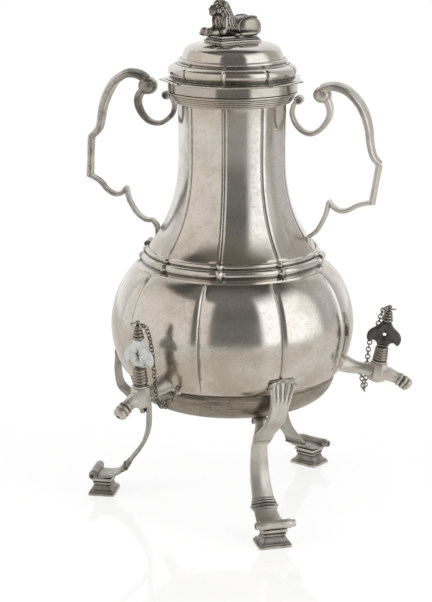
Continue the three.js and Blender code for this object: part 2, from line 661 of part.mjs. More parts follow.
// section(share) gives the strap's corners as [across, outward], in order round it.
function strap(route, section) {
  const last = route.length - 1;
  const position = [];
  const index = [];
  const corners = section(0).length;
  route.forEach(([r, z], i) => {
    const into = new THREE.Vector2(r - route[Math.max(i - 1, 0)][0], z - route[Math.max(i - 1, 0)][1]);
    const next = route[Math.min(i + 1, last)];
    const out = new THREE.Vector2(next[0] - r, next[1] - z);
    const [a, b] = [i ? into.normalize() : out.clone().normalize(), i < last ? out.normalize() : into];
    const way = a.clone().add(b).normalize();
    const mitre = 1 / Math.max(way.dot(b), 0.55);
    section(i / last).forEach(([across, outward]) => {
      position.push(r - way.y * outward * mitre, across, z + way.x * outward * mitre);
    });
  });
  for (let i = 0; i < last; i += 1) {
    for (let j = 0; j < corners; j += 1) {
      const [a, b] = [i * corners + j, i * corners + ((j + 1) % corners)];
      index.push(a, b, a + corners, b, b + corners, a + corners);
    }
  }
  [0, last].forEach((end) => {
    const centre = position.length / 3;
    position.push(route[end][0], 0, route[end][1]);
    for (let j = 0; j < corners; j += 1) {
      const [a, b] = [end * corners + j, end * corners + ((j + 1) % corners)];
      index.push(...(end ? [centre, a, b] : [centre, b, a]));
    }
  });
  const geometry = new THREE.BufferGeometry();
  geometry.setAttribute("position", new THREE.Float32BufferAttribute(position, 3));
  geometry.setIndex(index);
  return solid(geometry);
}

// A strap's section: flat inside, low crown outside.
const crowned = (width, thickness) => [
  [-width / 2, -thickness / 2], [width / 2, -thickness / 2], [width / 2, thickness * 0.2],
  [width / 4, thickness / 2], [-width / 4, thickness / 2], [-width / 2, thickness * 0.2],
];

function roll(r, z, radius, length) {
  return turned([[0, -length / 2], [radius, -length / 2], [radius * 0.86, 0], [radius, length / 2],
    [0, length / 2]], { steps: 8 }).rotate([90, 0, 0]).translate([r, 0, z]);
}

// Handles: places are set off from the collar's foot above and the neck's foot below.
function handle(turn) {
  const up = (dr, dz) => [collarHole + dr, collarBottom + dz];
  const low = (dr, dz) => [NECK_FOOT_RADIUS + dr, neckFoot + dz];
  const hook = smooth([
    up(10, 10), up(7.4, 7), up(6.3, 2.4), up(8.4, -5), up(16.4, -12.6), up(26, -8.8), up(30.8, 1.4),
    up(29.4, 10.2), up(24.9, 14.1),
  ], 15);
  const sweep = smooth([
    up(24.4, 12.6), up(20.3, 18), up(25.2, 24.6), up(37.6, 27.4), up(49, 23.4), up(59, 13.6),
    up(63.6, -1), up(65.2, -14.6), [HANDLE_REACH, collarBottom - 30],
  ], 18);
  const lower = [
    [HANDLE_REACH - 0.4, neckFoot + 49],
    ...smooth([low(44, 40), low(37.6, 39.6), low(27.5, 33.8), low(16.4, 39.6)], 7),
    ...smooth([low(13.8, 30.6), low(8, 20.6), low(-3.6, 12)], 4).slice(1),
    ...smooth([low(-2.9, 6.3), low(1.1, 1.9), low(5.4, 0), low(8, -1.4)], 4),
  ];
  const grip = () => crowned(HANDLE_WIDTH, HANDLE_THICKNESS);
  const hooked = strap(hook, grip);
  const swept = strap([...sweep, ...lower], grip);
  const ends = [
    roll(...up(11, 11.2), 3.2, HANDLE_WIDTH + 1.2),
    roll(...up(24.4, 15), 3.4, HANDLE_WIDTH + 1),
    roll(...low(8, -0.6), 2.6, HANDLE_WIDTH + 0.8),
  ];
  return moved(join([hooked, swept, ...ends]), station(turn)).subtract(vesselEnvelope);
}
Object.entries(HANDLE_TURNS).forEach(([side, turn]) => {
  add(`handle_${side}`, handle(turn), CAST_SILVER);
});

// Legs

const palmetteTop = BELLY_BOTTOM + 6;
const strapRoute = smooth([
  [bellyRadius(palmetteTop) - 0.6, palmetteTop], [BELLY_FOOT_RADIUS + 9.2, BELLY_BOTTOM - 5],
  [BELLY_FOOT_RADIUS + 7.4, BELLY_BOTTOM - 18], [BELLY_FOOT_RADIUS + 0.6, BELLY_BOTTOM - 28],
  [LEG_WAIST_RADIUS + 7, LEG_JOINT_HEIGHT + 9], [LEG_WAIST_RADIUS + 1.8, LEG_JOINT_HEIGHT],
], 11);
const scrollRoute = smooth([
  [LEG_WAIST_RADIUS - 9, panBottom + 1], [LEG_WAIST_RADIUS - 3, panBottom + 1.4],
  [LEG_WAIST_RADIUS - 0.6, panBottom - 5],
  [LEG_WAIST_RADIUS - 0.8, LEG_JOINT_HEIGHT + 8], [LEG_WAIST_RADIUS - 0.6, LEG_JOINT_HEIGHT - 6],
  [LEG_WAIST_RADIUS + 1.6, FOOT_HEIGHT + 36], [LEG_WAIST_RADIUS + 8, FOOT_HEIGHT + 22.4],
  [LEG_WAIST_RADIUS + 20, FOOT_HEIGHT + 10.4], [FOOT_RADIUS - 7, FOOT_HEIGHT + 3.4],
  [FOOT_RADIUS + 5, FOOT_HEIGHT + 1.8],
], 20);

// Outward is the strap's second side, so its flutes are cut there.
const FLUTES = 4;
function palmetteSection(share) {
  const width = THREE.MathUtils.lerp(PALMETTE_WIDTH, LEG_STRAP_WIDTH, Math.min(share / 0.42, 1));
  const depth = 0.7 * Math.max(1 - share / 0.6, 0);
  const half = LEG_STRAP_THICKNESS / 2;
  const outer = spread(-0.5, 0.5, FLUTES * 2).map((a, i) => [a * width, half - (i % 2 ? depth : 0)]);
  return [[width / 2, -half], [-width / 2, -half], ...outer].reverse();
}

function scrollSection(share) {
  const spans = [[0, 10], [0.35, 12.4], [0.5, LEG_SCROLL_WIDTH], [0.72, LEG_SCROLL_WIDTH + 2.6],
    [0.86, LEG_BAND_WIDTH], [1, LEG_BAND_WIDTH + 1]];
  const i = spans.findIndex(([s], k) => k > 0 && s >= share - 1e-9);
  const [[s0, w0], [s1, w1]] = [spans[i - 1], spans[i]];
  return crowned(THREE.MathUtils.mapLinear(share, s0, s1, w0, w1), LEG_SCROLL_THICKNESS);
}

function foot() {
  const levels = [
    [FOOT_BASE, 0], [FOOT_BASE, 2], [FOOT_BASE - 2.4, 2.8], [FOOT_NECK + 2, 5], [FOOT_NECK, 7.4],
    [FOOT_NECK + 0.6, FOOT_HEIGHT - 2.4], [FOOT_CAP, FOOT_HEIGHT - 1.6], [FOOT_CAP, FOOT_HEIGHT],
  ];
  const corner = levels.map(([size, z]) => [size / Math.SQRT2, z]);
  return turned([[0, 0], ...corner, [0, FOOT_HEIGHT]], { steps: 4, turn: 45 })
    .translate([FOOT_RADIUS, 0, 0]);
}

const footFloor = solid(new THREE.BoxGeometry(400, 400, FOOT_HEIGHT + SOLDER_GAP)
  .translate(0, 0, (FOOT_HEIGHT + SOLDER_GAP) / 2));
const bandAt = scrollRoute[Math.round(scrollRoute.length * 0.72)];
const scrollBlank = join([
  strap(scrollRoute, scrollSection),
  roll(LEG_WAIST_RADIUS - 9, panBottom - 1, 2.6, 11),
  roll(...bandAt, LEG_SCROLL_THICKNESS * 0.72, LEG_BAND_WIDTH),
  roll(FOOT_RADIUS + 7.6, FOOT_HEIGHT + 4, LEG_ROLL_RADIUS, LEG_ROLL_LENGTH),
]).subtract(footFloor);
const strapBlank = strap(strapRoute, palmetteSection);
const strapCutter = strap(scrollRoute, (share) =>
  scrollSection(share).map(([a, o]) => [a * 1.3, o + Math.sign(o) * SOLDER_GAP]));

LEGS.forEach(({ name, turn, swing }) => {
  const bent = (made) => moved(swung(made, swing, palmetteTop, LEG_JOINT_HEIGHT), station(turn));
  add(`leg_strap_${name}`, bent(strapBlank.subtract(strapCutter)).subtract(vesselEnvelope), CAST_SILVER);
  add(`leg_scroll_${name}`, bent(scrollBlank).subtract(vesselEnvelope), CAST_SILVER);
  add(`foot_${name}`, bent(foot()), CAST_SILVER);
});

// Taps, keys and chains

TAPS.forEach((tap) => {
  const frame = tapFrame(tap);
  const key = frame.clone().multiply(new THREE.Matrix4().makeRotationZ(rad(tap.keyTurn)));
  add(`tap_body_${tap.name}`, moved(tapBody(), frame).subtract(vesselEnvelope), CAST_SILVER);
  add(`key_plug_${tap.name}`, moved(keyPlug(), key), DARK_SILVER);
  add(`key_grip_${tap.name}`, moved(keyGrip(), key), GRIP_METAL);
  add(`key_finial_${tap.name}`, moved(keyFinial(), key), DARK_SILVER);
  add(`chain_ring_${tap.name}`, chainRing(tap), DARK_SILVER);
  add(`chain_${tap.name}`, chain(tap), DARK_SILVER);
  add(`chain_eye_${tap.name}`, chainEye(tap), DARK_SILVER);
});

// The part's origin is the middle of its footprint, at the surface it stands on.
const box = new THREE.Box3().setFromObject(urn, true);
const middle = box.getCenter(new THREE.Vector3());
urn.position.set(-middle.x, -middle.y, -box.min.z);

export default urn;
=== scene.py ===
"""A lidded silver coffee urn on three legs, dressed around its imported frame.

Shapes are worked out in millimetres about the urn's axis, with angles ("turns") in degrees
from -Y towards +X, and are put into the frame in metres at the end.
"""

from math import cos, exp, pi, radians, sin

import bmesh
import bpy
import numpy as np
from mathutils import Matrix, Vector


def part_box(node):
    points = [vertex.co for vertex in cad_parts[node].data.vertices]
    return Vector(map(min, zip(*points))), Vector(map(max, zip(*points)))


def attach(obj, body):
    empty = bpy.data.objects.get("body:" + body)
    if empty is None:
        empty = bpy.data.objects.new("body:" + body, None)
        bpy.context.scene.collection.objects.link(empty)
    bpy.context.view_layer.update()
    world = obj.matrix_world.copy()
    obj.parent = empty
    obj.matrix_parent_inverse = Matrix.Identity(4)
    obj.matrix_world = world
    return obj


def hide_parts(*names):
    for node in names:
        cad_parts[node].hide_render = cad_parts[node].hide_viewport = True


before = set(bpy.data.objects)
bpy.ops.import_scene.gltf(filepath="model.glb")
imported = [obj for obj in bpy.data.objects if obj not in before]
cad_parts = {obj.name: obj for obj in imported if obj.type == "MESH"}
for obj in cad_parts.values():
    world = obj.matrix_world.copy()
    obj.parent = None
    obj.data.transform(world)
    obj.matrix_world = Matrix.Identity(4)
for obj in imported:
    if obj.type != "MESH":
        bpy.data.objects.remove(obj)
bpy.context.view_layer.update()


MM = 0.001
DEGREES = 180 / pi
collar_low, collar_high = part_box("neck_collar")
AXIS = np.array([(collar_low.x + collar_high.x) / 2, (collar_low.y + collar_high.y) / 2, 0])

# Driving sizes
LOBES = 9
LOBE = 360 / LOBES
BELLY_SEAM_TURN = 30
NECK_SEAM_TURN = 38
BELLY_BOTTOM = 113
BELLY_EQUATOR = 150
BELLY_TOP = 201
BELLY_RADIUS = 96
BELLY_FOOT_RADIUS = 83
BELLY_MOUTH_RADIUS = 66.2
BELLY_CREASE = 1.5
BELLY_BULGE = 1.5
SHEET = 1.8
GAP = 0.3
PAN_BOTTOM = 87
PAN_FLAT_RADIUS = 54
NECK_RADIUS = 41.4
NECK_FOOT_RADIUS = 65.5
NECK_FOOT = 211.6
NECK_WAIST = 290
NECK_TOP = 333.4
NECK_GROOVE = 1.3
NECK_PANEL_RISE = 1.5
COLLAR_RADIUS = 50
COLLAR_BOTTOM = 325.4
COLLAR_TOP = 333.8
BAND_RADIUS = 50.1
BAND_BOTTOM = 334.2
BAND_TOP = 341.2
LID_SHEET = 1.6
TONGUE_DEPTH = 11
DOME_BOTTOM = 341.5
OGEE_TOP = 356.5
DOME_TOP = 371.2
DOME_RADIUS = 39
STUD_HOLE = 2.3
FLANGE_RADIUS = 54.8
LEAF_TURN = -2
LION_TURN = -51
PLINTH_BOTTOM = DOME_TOP + GAP
HANDLE_TURNS = {"right": 84, "left": -96}
# Each leg's turn, how far it swings aside, how far its foot twists, and how far out the foot moves
LEGS = {"front": (31, -7, -3, -4.5), "left": (-90, -3, 0, 1.5), "rear": (150, -1, 0, 6)}
PALMETTE_TOP = BELLY_BOTTOM + 8.6
LEG_JOINT = 66
LEG_WAIST = 69
FOOT_RADIUS = 105
FOOT_HEIGHT = 14
# Each tap's turn, lean, key's turn, rise over the common height, and its key's share of the height
TAPS = {"right": (90, 9, 0, -2, 1), "front": (-30, 3, 90, 2.5, 1.08), "back": (-150, 6, 0, 0, 1)}
TAP_REACH = 116
TAP_HEIGHT = 114.5


# Numbers

def smoothstep(edge0, edge1, x):
    t = np.clip((x - edge0) / (edge1 - edge0), 0, 1)
    return t * t * (3 - 2 * t)


def peak(x, width, middle=0):
    """1 at the middle, falling off smoothly over about the width to each side."""
    return np.exp(-((x - middle) / width) ** 2)


def unit(vectors):
    """One vector, or each row of several, brought to length 1."""
    if vectors.ndim == 1:
        return vectors / np.linalg.norm(vectors)
    return vectors / np.linalg.norm(vectors, axis=1)[:, None]


def over(r, z, *points):
    """The points as (r, z) pairs counted from another point."""
    return [(r + dr, z + dz) for dr, dz in points]


def catmull(points, per_span):
    """A smooth line through the points, with per_span steps between neighbours."""
    p = np.array(points, float)
    p = np.vstack([2 * p[0] - p[1], p, 2 * p[-1] - p[-2]])
    out = []
    for i in range(1, len(p) - 2):
        for t in np.linspace(0, 1, per_span, endpoint=False):
            a, b, c, d = p[i - 1:i + 3]
            out.append(0.5 * (2 * b + (c - a) * t + (2 * a - 5 * b + 4 * c - d) * t ** 2
                              + (3 * b - a - 3 * c + d) * t ** 3))
    out.append(p[-2])
    return np.array(out)


def lengths(line):
    """How far along a line each of its points is."""
    return np.concatenate([[0], np.cumsum(np.linalg.norm(np.diff(line, axis=0), axis=1))])


def spaced(line, step):
    """The same line with points an even step apart."""
    line = np.array(line, float)
    along = lengths(line)
    at = np.linspace(0, along[-1], max(2, int(round(along[-1] / step)) + 1))
    return np.stack([np.interp(at, along, line[:, k]) for k in range(line.shape[1])], 1)


def rotation(axis, degrees):
    c, s = cos(radians(degrees)), sin(radians(degrees))
    m = np.eye(4)
    i, j = {"x": (1, 2), "y": (2, 0), "z": (0, 1)}[axis]
    m[i, i], m[i, j], m[j, i], m[j, j] = c, -s, s, c
    return m


def shift(x, y, z):
    m = np.eye(4)
    m[:3, 3] = x, y, z
    return m


def framed(x, y, z, at):
    """The matrix that puts local X, Y and Z along three directions from a place."""
    m = np.eye(4)
    m[:3] = np.stack([x, y, z, at], 1)
    return m


def station(turn):
    """Local +X points outward at that turn."""
    return rotation("z", turn - 90)


def moved(points, matrix):
    return np.asarray(points) @ matrix[:3, :3].T + matrix[:3, 3]


# Meshes: each is (points, faces), in millimetres about the urn's axis

def grid(points, close_rows=False):
    """Faces over rows of points, each of which runs round and closes."""
    rows, columns = points.shape[:2]
    faces = []
    for i in range(rows if close_rows else rows - 1):
        for j in range(columns):
            a, b = i * columns + j, i * columns + (j + 1) % columns
            k = (i + 1) % rows
            faces.append((a, b, k * columns + (j + 1) % columns, k * columns + j))
    return points.reshape(-1, 3), faces


def outward(mesh):
    """A closed mesh with its faces turned so that they look out of it."""
    points, faces = np.asarray(mesh[0], float), mesh[1]
    volume = 0.0
    for count in {len(face) for face in faces}:
        corner = points[np.array([face for face in faces if len(face) == count])]
        for i in range(1, count - 1):
            volume += (corner[:, 0] * np.cross(corner[:, i], corner[:, i + 1])).sum()
    return points, faces if volume >= 0 else [tuple(reversed(face)) for face in faces]


def together(*meshes):
    points, faces, start = [], [], 0
    for p, f in map(outward, meshes):
        points.append(p)
        faces += [tuple(i + start for i in face) for face in f]
        start += len(p)
    return np.vstack(points), faces


def placed(mesh, matrix):
    return moved(mesh[0], matrix), mesh[1]


def lobe_turns(first):
    """Column turns round the urn, close together where two lobes meet."""
    half = np.array([0, 0.01, 0.022, 0.036, 0.055, 0.08, 0.12, 0.17, 0.24, 0.32, 0.41, 0.5])
    one = np.concatenate([half, 1 - half[-2:0:-1]])
    return np.concatenate([first + (i + one) * 360 / LOBES for i in range(LOBES)])


def from_seam(turns, first, radius):
    """How far the nearest seam is, as a share of a lobe up to 0.5 and in millimetres."""
    lobe = (np.asarray(turns) - first) / LOBE
    share = abs(lobe - np.round(lobe))
    return share, share * radius * radians(LOBE)


def lathe(outline, turns, push=None):
    """outline has rows of (r, z); push(turns, r, z) says how far each point stands out."""
    outline = np.array(outline, float)
    r, z = outline[:, :1], outline[:, 1:]
    t = np.asarray(turns, float)[None, :]
    out = r + (push(t, r, z) if push else 0 * t) * (r > 1)
    a = np.radians(t)
    points = np.stack([out * np.sin(a), -out * np.cos(a), z + 0 * t], 2)
    return grid(points, close_rows=True)


def lining(outer):
    """The inside of a wall, a sheet's thickness within its outside, as a line back to its start."""
    inner = outer[::-2].copy()
    inner[:, 0] -= SHEET
    return inner


def round_turns(count):
    return np.arange(count) * 360.0 / count


def turned_along(outline, steps):
    """A round piece along local +X, from (x, radius) pairs. Its ends close on the axis."""
    outline = np.array([(outline[0][0], 0), *outline, (outline[-1][0], 0)], float)
    a = np.radians(round_turns(steps))[None, :]
    x, r = outline[:, :1], outline[:, 1:]
    points = np.stack([x + 0 * a, r * np.cos(a), r * np.sin(a)], 2)
    return grid(points)


def upright(outline, steps):
    """A round piece along local +Z, from (radius, z) pairs. Its ends close on the axis."""
    points, faces = turned_along([(z, r) for r, z in outline], steps)
    return points[:, [1, 2, 0]], faces


def crosswise(outline, steps, r, z, flatten=1):
    """A round piece across a strap, from (radius, along) pairs, about a place in the XZ plane."""
    points, faces = upright(outline, steps)
    return points[:, [0, 2, 1]] * np.array([1, 1, flatten]) + np.array([r, 0, z]), faces


def bead(r, z, size, start, end, count):
    """A round moulding's outline, from one angle to another."""
    a = np.radians(np.linspace(start, end, count))
    return [(r + size * cos(b), z + size * sin(b)) for b in a]


def strap(route, section):
    """A strap bent in the local XZ plane. section(share) gives corners as (across, outward)."""
    sharpest_mitre = 0.6
    route = np.array(route, float)
    step = unit(np.diff(route, axis=0))
    away = np.vstack([step, step[-1:]])
    way = unit(np.vstack([step[:1], step]) + away)
    mitre = 1 / np.maximum((way * away).sum(1), sharpest_mitre)
    along = lengths(route)
    rings = []
    for (r, z), w, m, s in zip(route, way, mitre, along / along[-1]):
        corner = np.array(section(s), float)
        rings.append(np.stack([r - w[1] * corner[:, 1] * m, corner[:, 0], z + w[0] * corner[:, 1] * m], 1))
    ends = [ring.mean(0, keepdims=True) + 0 * ring for ring in (rings[0], rings[-1])]
    return grid(np.array([ends[0], *rings, ends[1]]))


def torus(radius, wire, length, steps, sides):
    """A ring, or with a length a long link, in the local XY plane."""
    a = np.radians(round_turns(steps))[:, None]
    b = np.radians(round_turns(sides))[None, :]
    reach = radius + wire * np.cos(b)
    x = np.cos(a) * reach + np.sign(np.round(np.cos(a), 6)) * length / 2
    points = np.stack([x, np.sin(a) * reach, wire * np.sin(b) + 0 * a], 2)
    return grid(points, close_rows=True)


def ball(radius, at=(0, 0, 0), stretch=(1, 1, 1), steps=8):
    a = np.linspace(0, np.pi, steps // 2 + 1)
    outline = [(radius * sin(t), -radius * cos(t)) for t in a]
    points, faces = upright(outline[1:-1], steps)
    poles = abs(points[:, :2]).sum(1) < 1e-9
    points[poles, 2] = np.sign(points[poles, 2]) * radius
    return points * np.array(stretch) + np.array(at), faces


# Turning meshes into pieces

def stored(items, key, width, kind=float):
    """What a mesh keeps for each of its items, as rows of numbers."""
    out = np.empty(len(items) * width, kind)
    items.foreach_get(key, out)
    return out.reshape(-1, width)


def mark_hollows(mesh, shallow, deep, blur):
    """Keeps on each vertex how hollow the surface is there, 0 to 1, from its curvature in 1/m."""
    count = len(mesh.vertices)
    place = stored(mesh.vertices, "co", 3)
    normal = stored(mesh.vertex_normals, "vector", 3, np.float32)
    a, b = stored(mesh.edges, "vertices", 2, np.int32).T
    edge = place[b] - place[a]
    square = np.maximum((edge ** 2).sum(1), 1e-12)
    bend = np.full(count, -1e9)
    np.maximum.at(bend, a, 2 * (edge * normal[a]).sum(1) / square)
    np.maximum.at(bend, b, -2 * (edge * normal[b]).sum(1) / square)
    hollow = np.clip((bend - shallow) / (deep - shallow), 0, 1) ** 0.6
    near = np.bincount(a, minlength=count) + np.bincount(b, minlength=count)
    for _ in range(blur):
        total = np.bincount(a, hollow[b], count) + np.bincount(b, hollow[a], count)
        hollow = np.maximum(hollow * 0.6, (hollow + total) / (1 + near))
    layer = mesh.attributes.new("hollow", "FLOAT", "POINT")
    layer.data.foreach_set("value", hollow.astype(np.float32))


def add_object(name, data):
    obj = bpy.data.objects.new(name, data)
    bpy.context.scene.collection.objects.link(obj)
    return obj


def object_from(name, mesh_data):
    points, faces = outward(mesh_data)
    mesh = bpy.data.meshes.new(name)
    mesh.from_pydata((points * MM + AXIS).tolist(), [], faces)
    edit = bmesh.new()
    edit.from_mesh(mesh)
    bmesh.ops.remove_doubles(edit, verts=edit.verts, dist=2e-6)
    edit.to_mesh(mesh)
    edit.free()
    mesh.validate()
    return add_object(name, mesh)


def piece(node, mesh_data, look, body="vessel", name=None, sharp=38,
          hollows=(70, 900, 2)):
    """Makes a mesh the visible piece in a node's place, smooth but for edges over sharp degrees."""
    obj = object_from(f"{name or node}_skin", mesh_data)
    obj.data.materials.append(look)
    obj.data.shade_smooth()
    obj.data.set_sharp_from_angle(angle=radians(sharp))
    mark_hollows(obj.data, *hollows)
    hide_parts(node)
    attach(obj, body)


def melted(mesh_data, voxel, smooth):
    """The mesh with all its shells melted into one soft skin."""
    obj = object_from("melt", mesh_data)
    remesh = obj.modifiers.new("fuse", "REMESH")
    remesh.mode = "VOXEL"
    remesh.voxel_size = voxel * MM
    relax = obj.modifiers.new("relax", "SMOOTH")
    relax.factor = 0.5
    relax.iterations = smooth
    ready = obj.evaluated_get(bpy.context.evaluated_depsgraph_get())
    mesh = bpy.data.meshes.new_from_object(ready)
    points = (stored(mesh.vertices, "co", 3) - AXIS) / MM
    faces = [tuple(face.vertices) for face in mesh.polygons]
    bpy.data.objects.remove(obj)
    bpy.data.meshes.remove(mesh)
    return points, faces


# Materials

class Nodes:
    """A node tree. A value in it is a number, a colour or a (node, output) pair."""

    def __init__(self, tree):
        self.tree = tree
        self.tree.nodes.clear()

    def add(self, kind, inputs=None, **settings):
        node = self.tree.nodes.new(kind)
        for key, value in settings.items():
            setattr(node, key, value)
        for key, value in (inputs or {}).items():
            self.feed(value, node, key)
        return node

    def feed(self, value, node, socket):
        if isinstance(value, tuple) and isinstance(value[0], bpy.types.Node):
            self.tree.links.new(value[0].outputs[value[1]], node.inputs[socket])
        else:
            node.inputs[socket].default_value = value

    def math(self, operation, *values):
        return self.add("ShaderNodeMath", dict(enumerate(values)), operation=operation), 0

    def mixed(self, factor, first, second):
        """A surface between two."""
        return self.add("ShaderNodeMixShader", {0: factor, 1: first, 2: second}), 0


class Shader(Nodes):
    """A node material with one Principled surface."""

    def __init__(self, name):
        self.material = bpy.data.materials.new(name)
        self.material.use_nodes = True
        super().__init__(self.material.node_tree)
        self.output = self.add("ShaderNodeOutputMaterial")
        self.surface = self.add("ShaderNodeBsdfPrincipled")
        self.feed((self.surface, "BSDF"), self.output, "Surface")
        self.place = self.add("ShaderNodeTexCoord"), "Object"

    def axes(self):
        split = self.add("ShaderNodeSeparateXYZ", {"Vector": self.place})
        return [(split, axis) for axis in "XYZ"]

    def from_axis(self, x, y):
        """How far a place is from the upright axis."""
        return self.math("SQRT", self.math("ADD", self.math("MULTIPLY", x, x), self.math("MULTIPLY", y, y)))

    def noise(self, scale, detail, roughness, stretch=(1, 1, 1)):
        """A noise pattern with scale in features a metre."""
        mapping = self.add("ShaderNodeMapping", {"Vector": self.place, "Scale": stretch})
        values = {"Vector": (mapping, "Vector"), "Scale": scale, "Detail": detail, "Roughness": roughness}
        return self.add("ShaderNodeTexNoise", values), "Fac"

    def span(self, source, low, high, to_low=0, to_high=1):
        """The source's value from low to high, brought to another range."""
        values = {"Value": source, "From Min": low, "From Max": high, "To Min": to_low, "To Max": to_high}
        return self.add("ShaderNodeMapRange", values, interpolation_type="SMOOTHSTEP"), "Result"

    def blend(self, factor, first, second):
        """A colour between two."""
        node = self.add("ShaderNodeMix", data_type="RGBA")
        self.feed(factor, node, "Factor")
        for socket, value in ((6, first), (7, second)):
            self.feed(value if isinstance(value[0], bpy.types.Node) else (*value, 1), node, socket)
        return node, 2

    def bump(self, height, distance, after=None):
        values = {"Strength": 1, "Distance": distance, "Height": height}
        node = self.add("ShaderNodeBump", values)
        if after:
            self.feed(after, node, "Normal")
        return node, "Normal"


SILVER = (0.76, 0.735, 0.70)
WARM = (0.48, 0.42, 0.345)
BROWN = (0.30, 0.255, 0.205)
TARNISH = (0.045, 0.042, 0.038)
# How many times finer than the cloudy stains the small stains and the pits are
SPECKS = 11
PITS = 26
# Features a metre of the sheet's waves and of fine wear
WAVES = 26.0
WEAR = 1400.0


def metal(name, colour, stain=WARM, grime=TARNISH, rough=(0.16, 0.3), stains=0.5, wobble=0.06, grain=0.004,
          grime_share=0.85, metallic=1, stretch=(1, 1, 1), mottle=28, patina_and_shade=()):
    """Silver with cloudy stains, tarnish in its hollows, and a slightly uneven surface.

    wobble and grain are the relief, in millimetres, of the sheet's waves and of fine wear.
    mottle says how many cloudy stains there are a metre, and stains how strong they are.
    Each band of patina and painted shade is (height where full, height where it ends, share), in millimetres.
    """
    s = Shader(name)
    cloud = s.noise(mottle, 5, 0.62, stretch)
    fine = s.noise(mottle * SPECKS, 4, 0.7, stretch)
    tinted = s.blend(s.span(cloud, 0.42, 0.72, 0, stains), colour, stain)
    tinted = s.blend(s.span(fine, 0.46, 0.72, 0, stains * 0.6), tinted, stain)
    pits = s.span(s.noise(mottle * PITS, 2, 0.5), 0.6, 0.74, 0, stains * 0.4)
    tinted = s.blend(pits, tinted, grime)
    # Warm stain over bands of height: partly patina, partly painted shade.
    for full, none, share in patina_and_shade:
        ends = (full, none, share, 0) if full < none else (none, full, 0, share)
        near = s.span(s.axes()[2], ends[0] * MM, ends[1] * MM, *ends[2:])
        tinted = s.blend(s.math("MULTIPLY", near, s.span(cloud, 0.3, 0.62, 0.35, 1)), tinted, stain)
    hollow = s.add("ShaderNodeAttribute", attribute_name="hollow"), "Fac"
    broken = s.span(fine, 0.3, 0.6, 0.75, 1)
    dirt = s.math("MULTIPLY", s.span(hollow, 0.08, 0.75, 0, grime_share), broken)
    s.feed(s.blend(dirt, tinted, grime), s.surface, "Base Color")
    low, high = rough
    spread = s.span(cloud, 0.3, 0.7, low, high)
    smear = s.span(fine, 0.35, 0.75, 0, (high - low) * 0.5)
    s.feed(s.math("ADD", s.math("ADD", spread, smear), s.math("MULTIPLY", dirt, 0.3)), s.surface, "Roughness")
    s.feed(metallic, s.surface, "Metallic")
    waves = s.bump(s.noise(WAVES, 2, 0.4), wobble * MM)
    s.feed(s.bump(s.noise(WEAR, 3, 0.6, stretch), grain * MM, waves), s.surface, "Normal")
    return s.material


# The belly is stained warmer and darker towards its bottom and under the shoulder. The band under the
# shoulder is partly painted shade of the neck's foot and shoulder, partly patina.
polished = metal("polished_silver", SILVER, rough=(0.1, 0.21), stains=0.6, grime_share=0.75, wobble=0.1,
                 patina_and_shade=((108, 162, 1), (201, 184, 0.6)))
beaded = metal("beaded_silver", (0.68, 0.65, 0.61), rough=(0.09, 0.18), stains=0.55, mottle=50)
# The neck is stained warmer and darker under the collar and above its foot.
necked = metal("neck_silver", SILVER, rough=(0.1, 0.2), stains=0.55, grime_share=0.7, wobble=0.13,
               patina_and_shade=((334, 306, 0.75), (212, 238, 0.7)))
lidded = metal("lid_silver", (0.69, 0.66, 0.62), rough=(0.09, 0.19), mottle=45)
# The lid's band is a darker silver than the rest: painted shade under the overhanging flange.
band_painted_shade = metal("band_silver_painted_shade", (0.55, 0.525, 0.49), rough=(0.09, 0.19), stains=0.6, mottle=60)
reeded = metal("reeded_silver", (0.55, 0.52, 0.48), rough=(0.16, 0.28), wobble=0.03, stains=0.6)
pan_look = metal("pan_silver", (0.36, 0.32, 0.265), (0.09, 0.075, 0.06), rough=(0.2, 0.36), stains=1,
                 stretch=(0.5, 0.5, 3))
casting = {"wobble": 0.05, "grain": 0.008}
cast = metal("cast_silver", (0.72, 0.695, 0.65), rough=(0.4, 0.52), mottle=60, **casting)
# A darker copy of the cast silver: painted shade for the legs other than the front one, which stand behind
# and beside it.
cast_painted_shade = metal("cast_silver_painted_shade", (0.50, 0.495, 0.46), BROWN, rough=(0.36, 0.5), stains=0.6, mottle=60,
                 **casting)
handle_looks = {
    "right": metal("handle_silver", (0.76, 0.74, 0.70), rough=(0.3, 0.42), mottle=60, **casting),
    "left": metal("handle_silver_worn", (0.56, 0.535, 0.495), (0.10, 0.085, 0.07), rough=(0.24, 0.38),
                  stains=1, mottle=42, **casting),
}
cast_foot = metal("foot_silver", (0.66, 0.63, 0.58), BROWN, rough=(0.3, 0.44), stains=0.6, wobble=0.08,
                  grain=0.012, mottle=90)
lion_look = metal("lion_silver", (0.46, 0.435, 0.395), BROWN, (0.03, 0.027, 0.024), rough=(0.2, 0.32),
                  wobble=0.04, mottle=120, grime_share=0.9)
dark = metal("dark_silver", (0.40, 0.37, 0.33), BROWN, (0.03, 0.028, 0.025), rough=(0.26, 0.42), stains=0.6,
             wobble=0.03, mottle=150, grime_share=0.95)
chain_look = metal("chain_silver", (0.42, 0.39, 0.35), BROWN, (0.04, 0.036, 0.032), rough=(0.24, 0.4),
                   stains=0.7, mottle=200)
grip_dark = metal("grip_dark", (0.13, 0.125, 0.12), (0.05, 0.048, 0.046), (0.02, 0.02, 0.02),
                  rough=(0.3, 0.46), stains=0.7, metallic=0.85, mottle=160)
# A paler copy of the dark grip metal, for the front tap's grip that faces the viewer: a painted highlight of
# the light the same metal catches there.
grip_painted_highlight = metal("grip_painted_highlight", (0.62, 0.64, 0.63), (0.42, 0.44, 0.44), (0.10, 0.10, 0.10),
                  rough=(0.42, 0.55), stains=0.7, metallic=0.55, mottle=170)


# Vessel

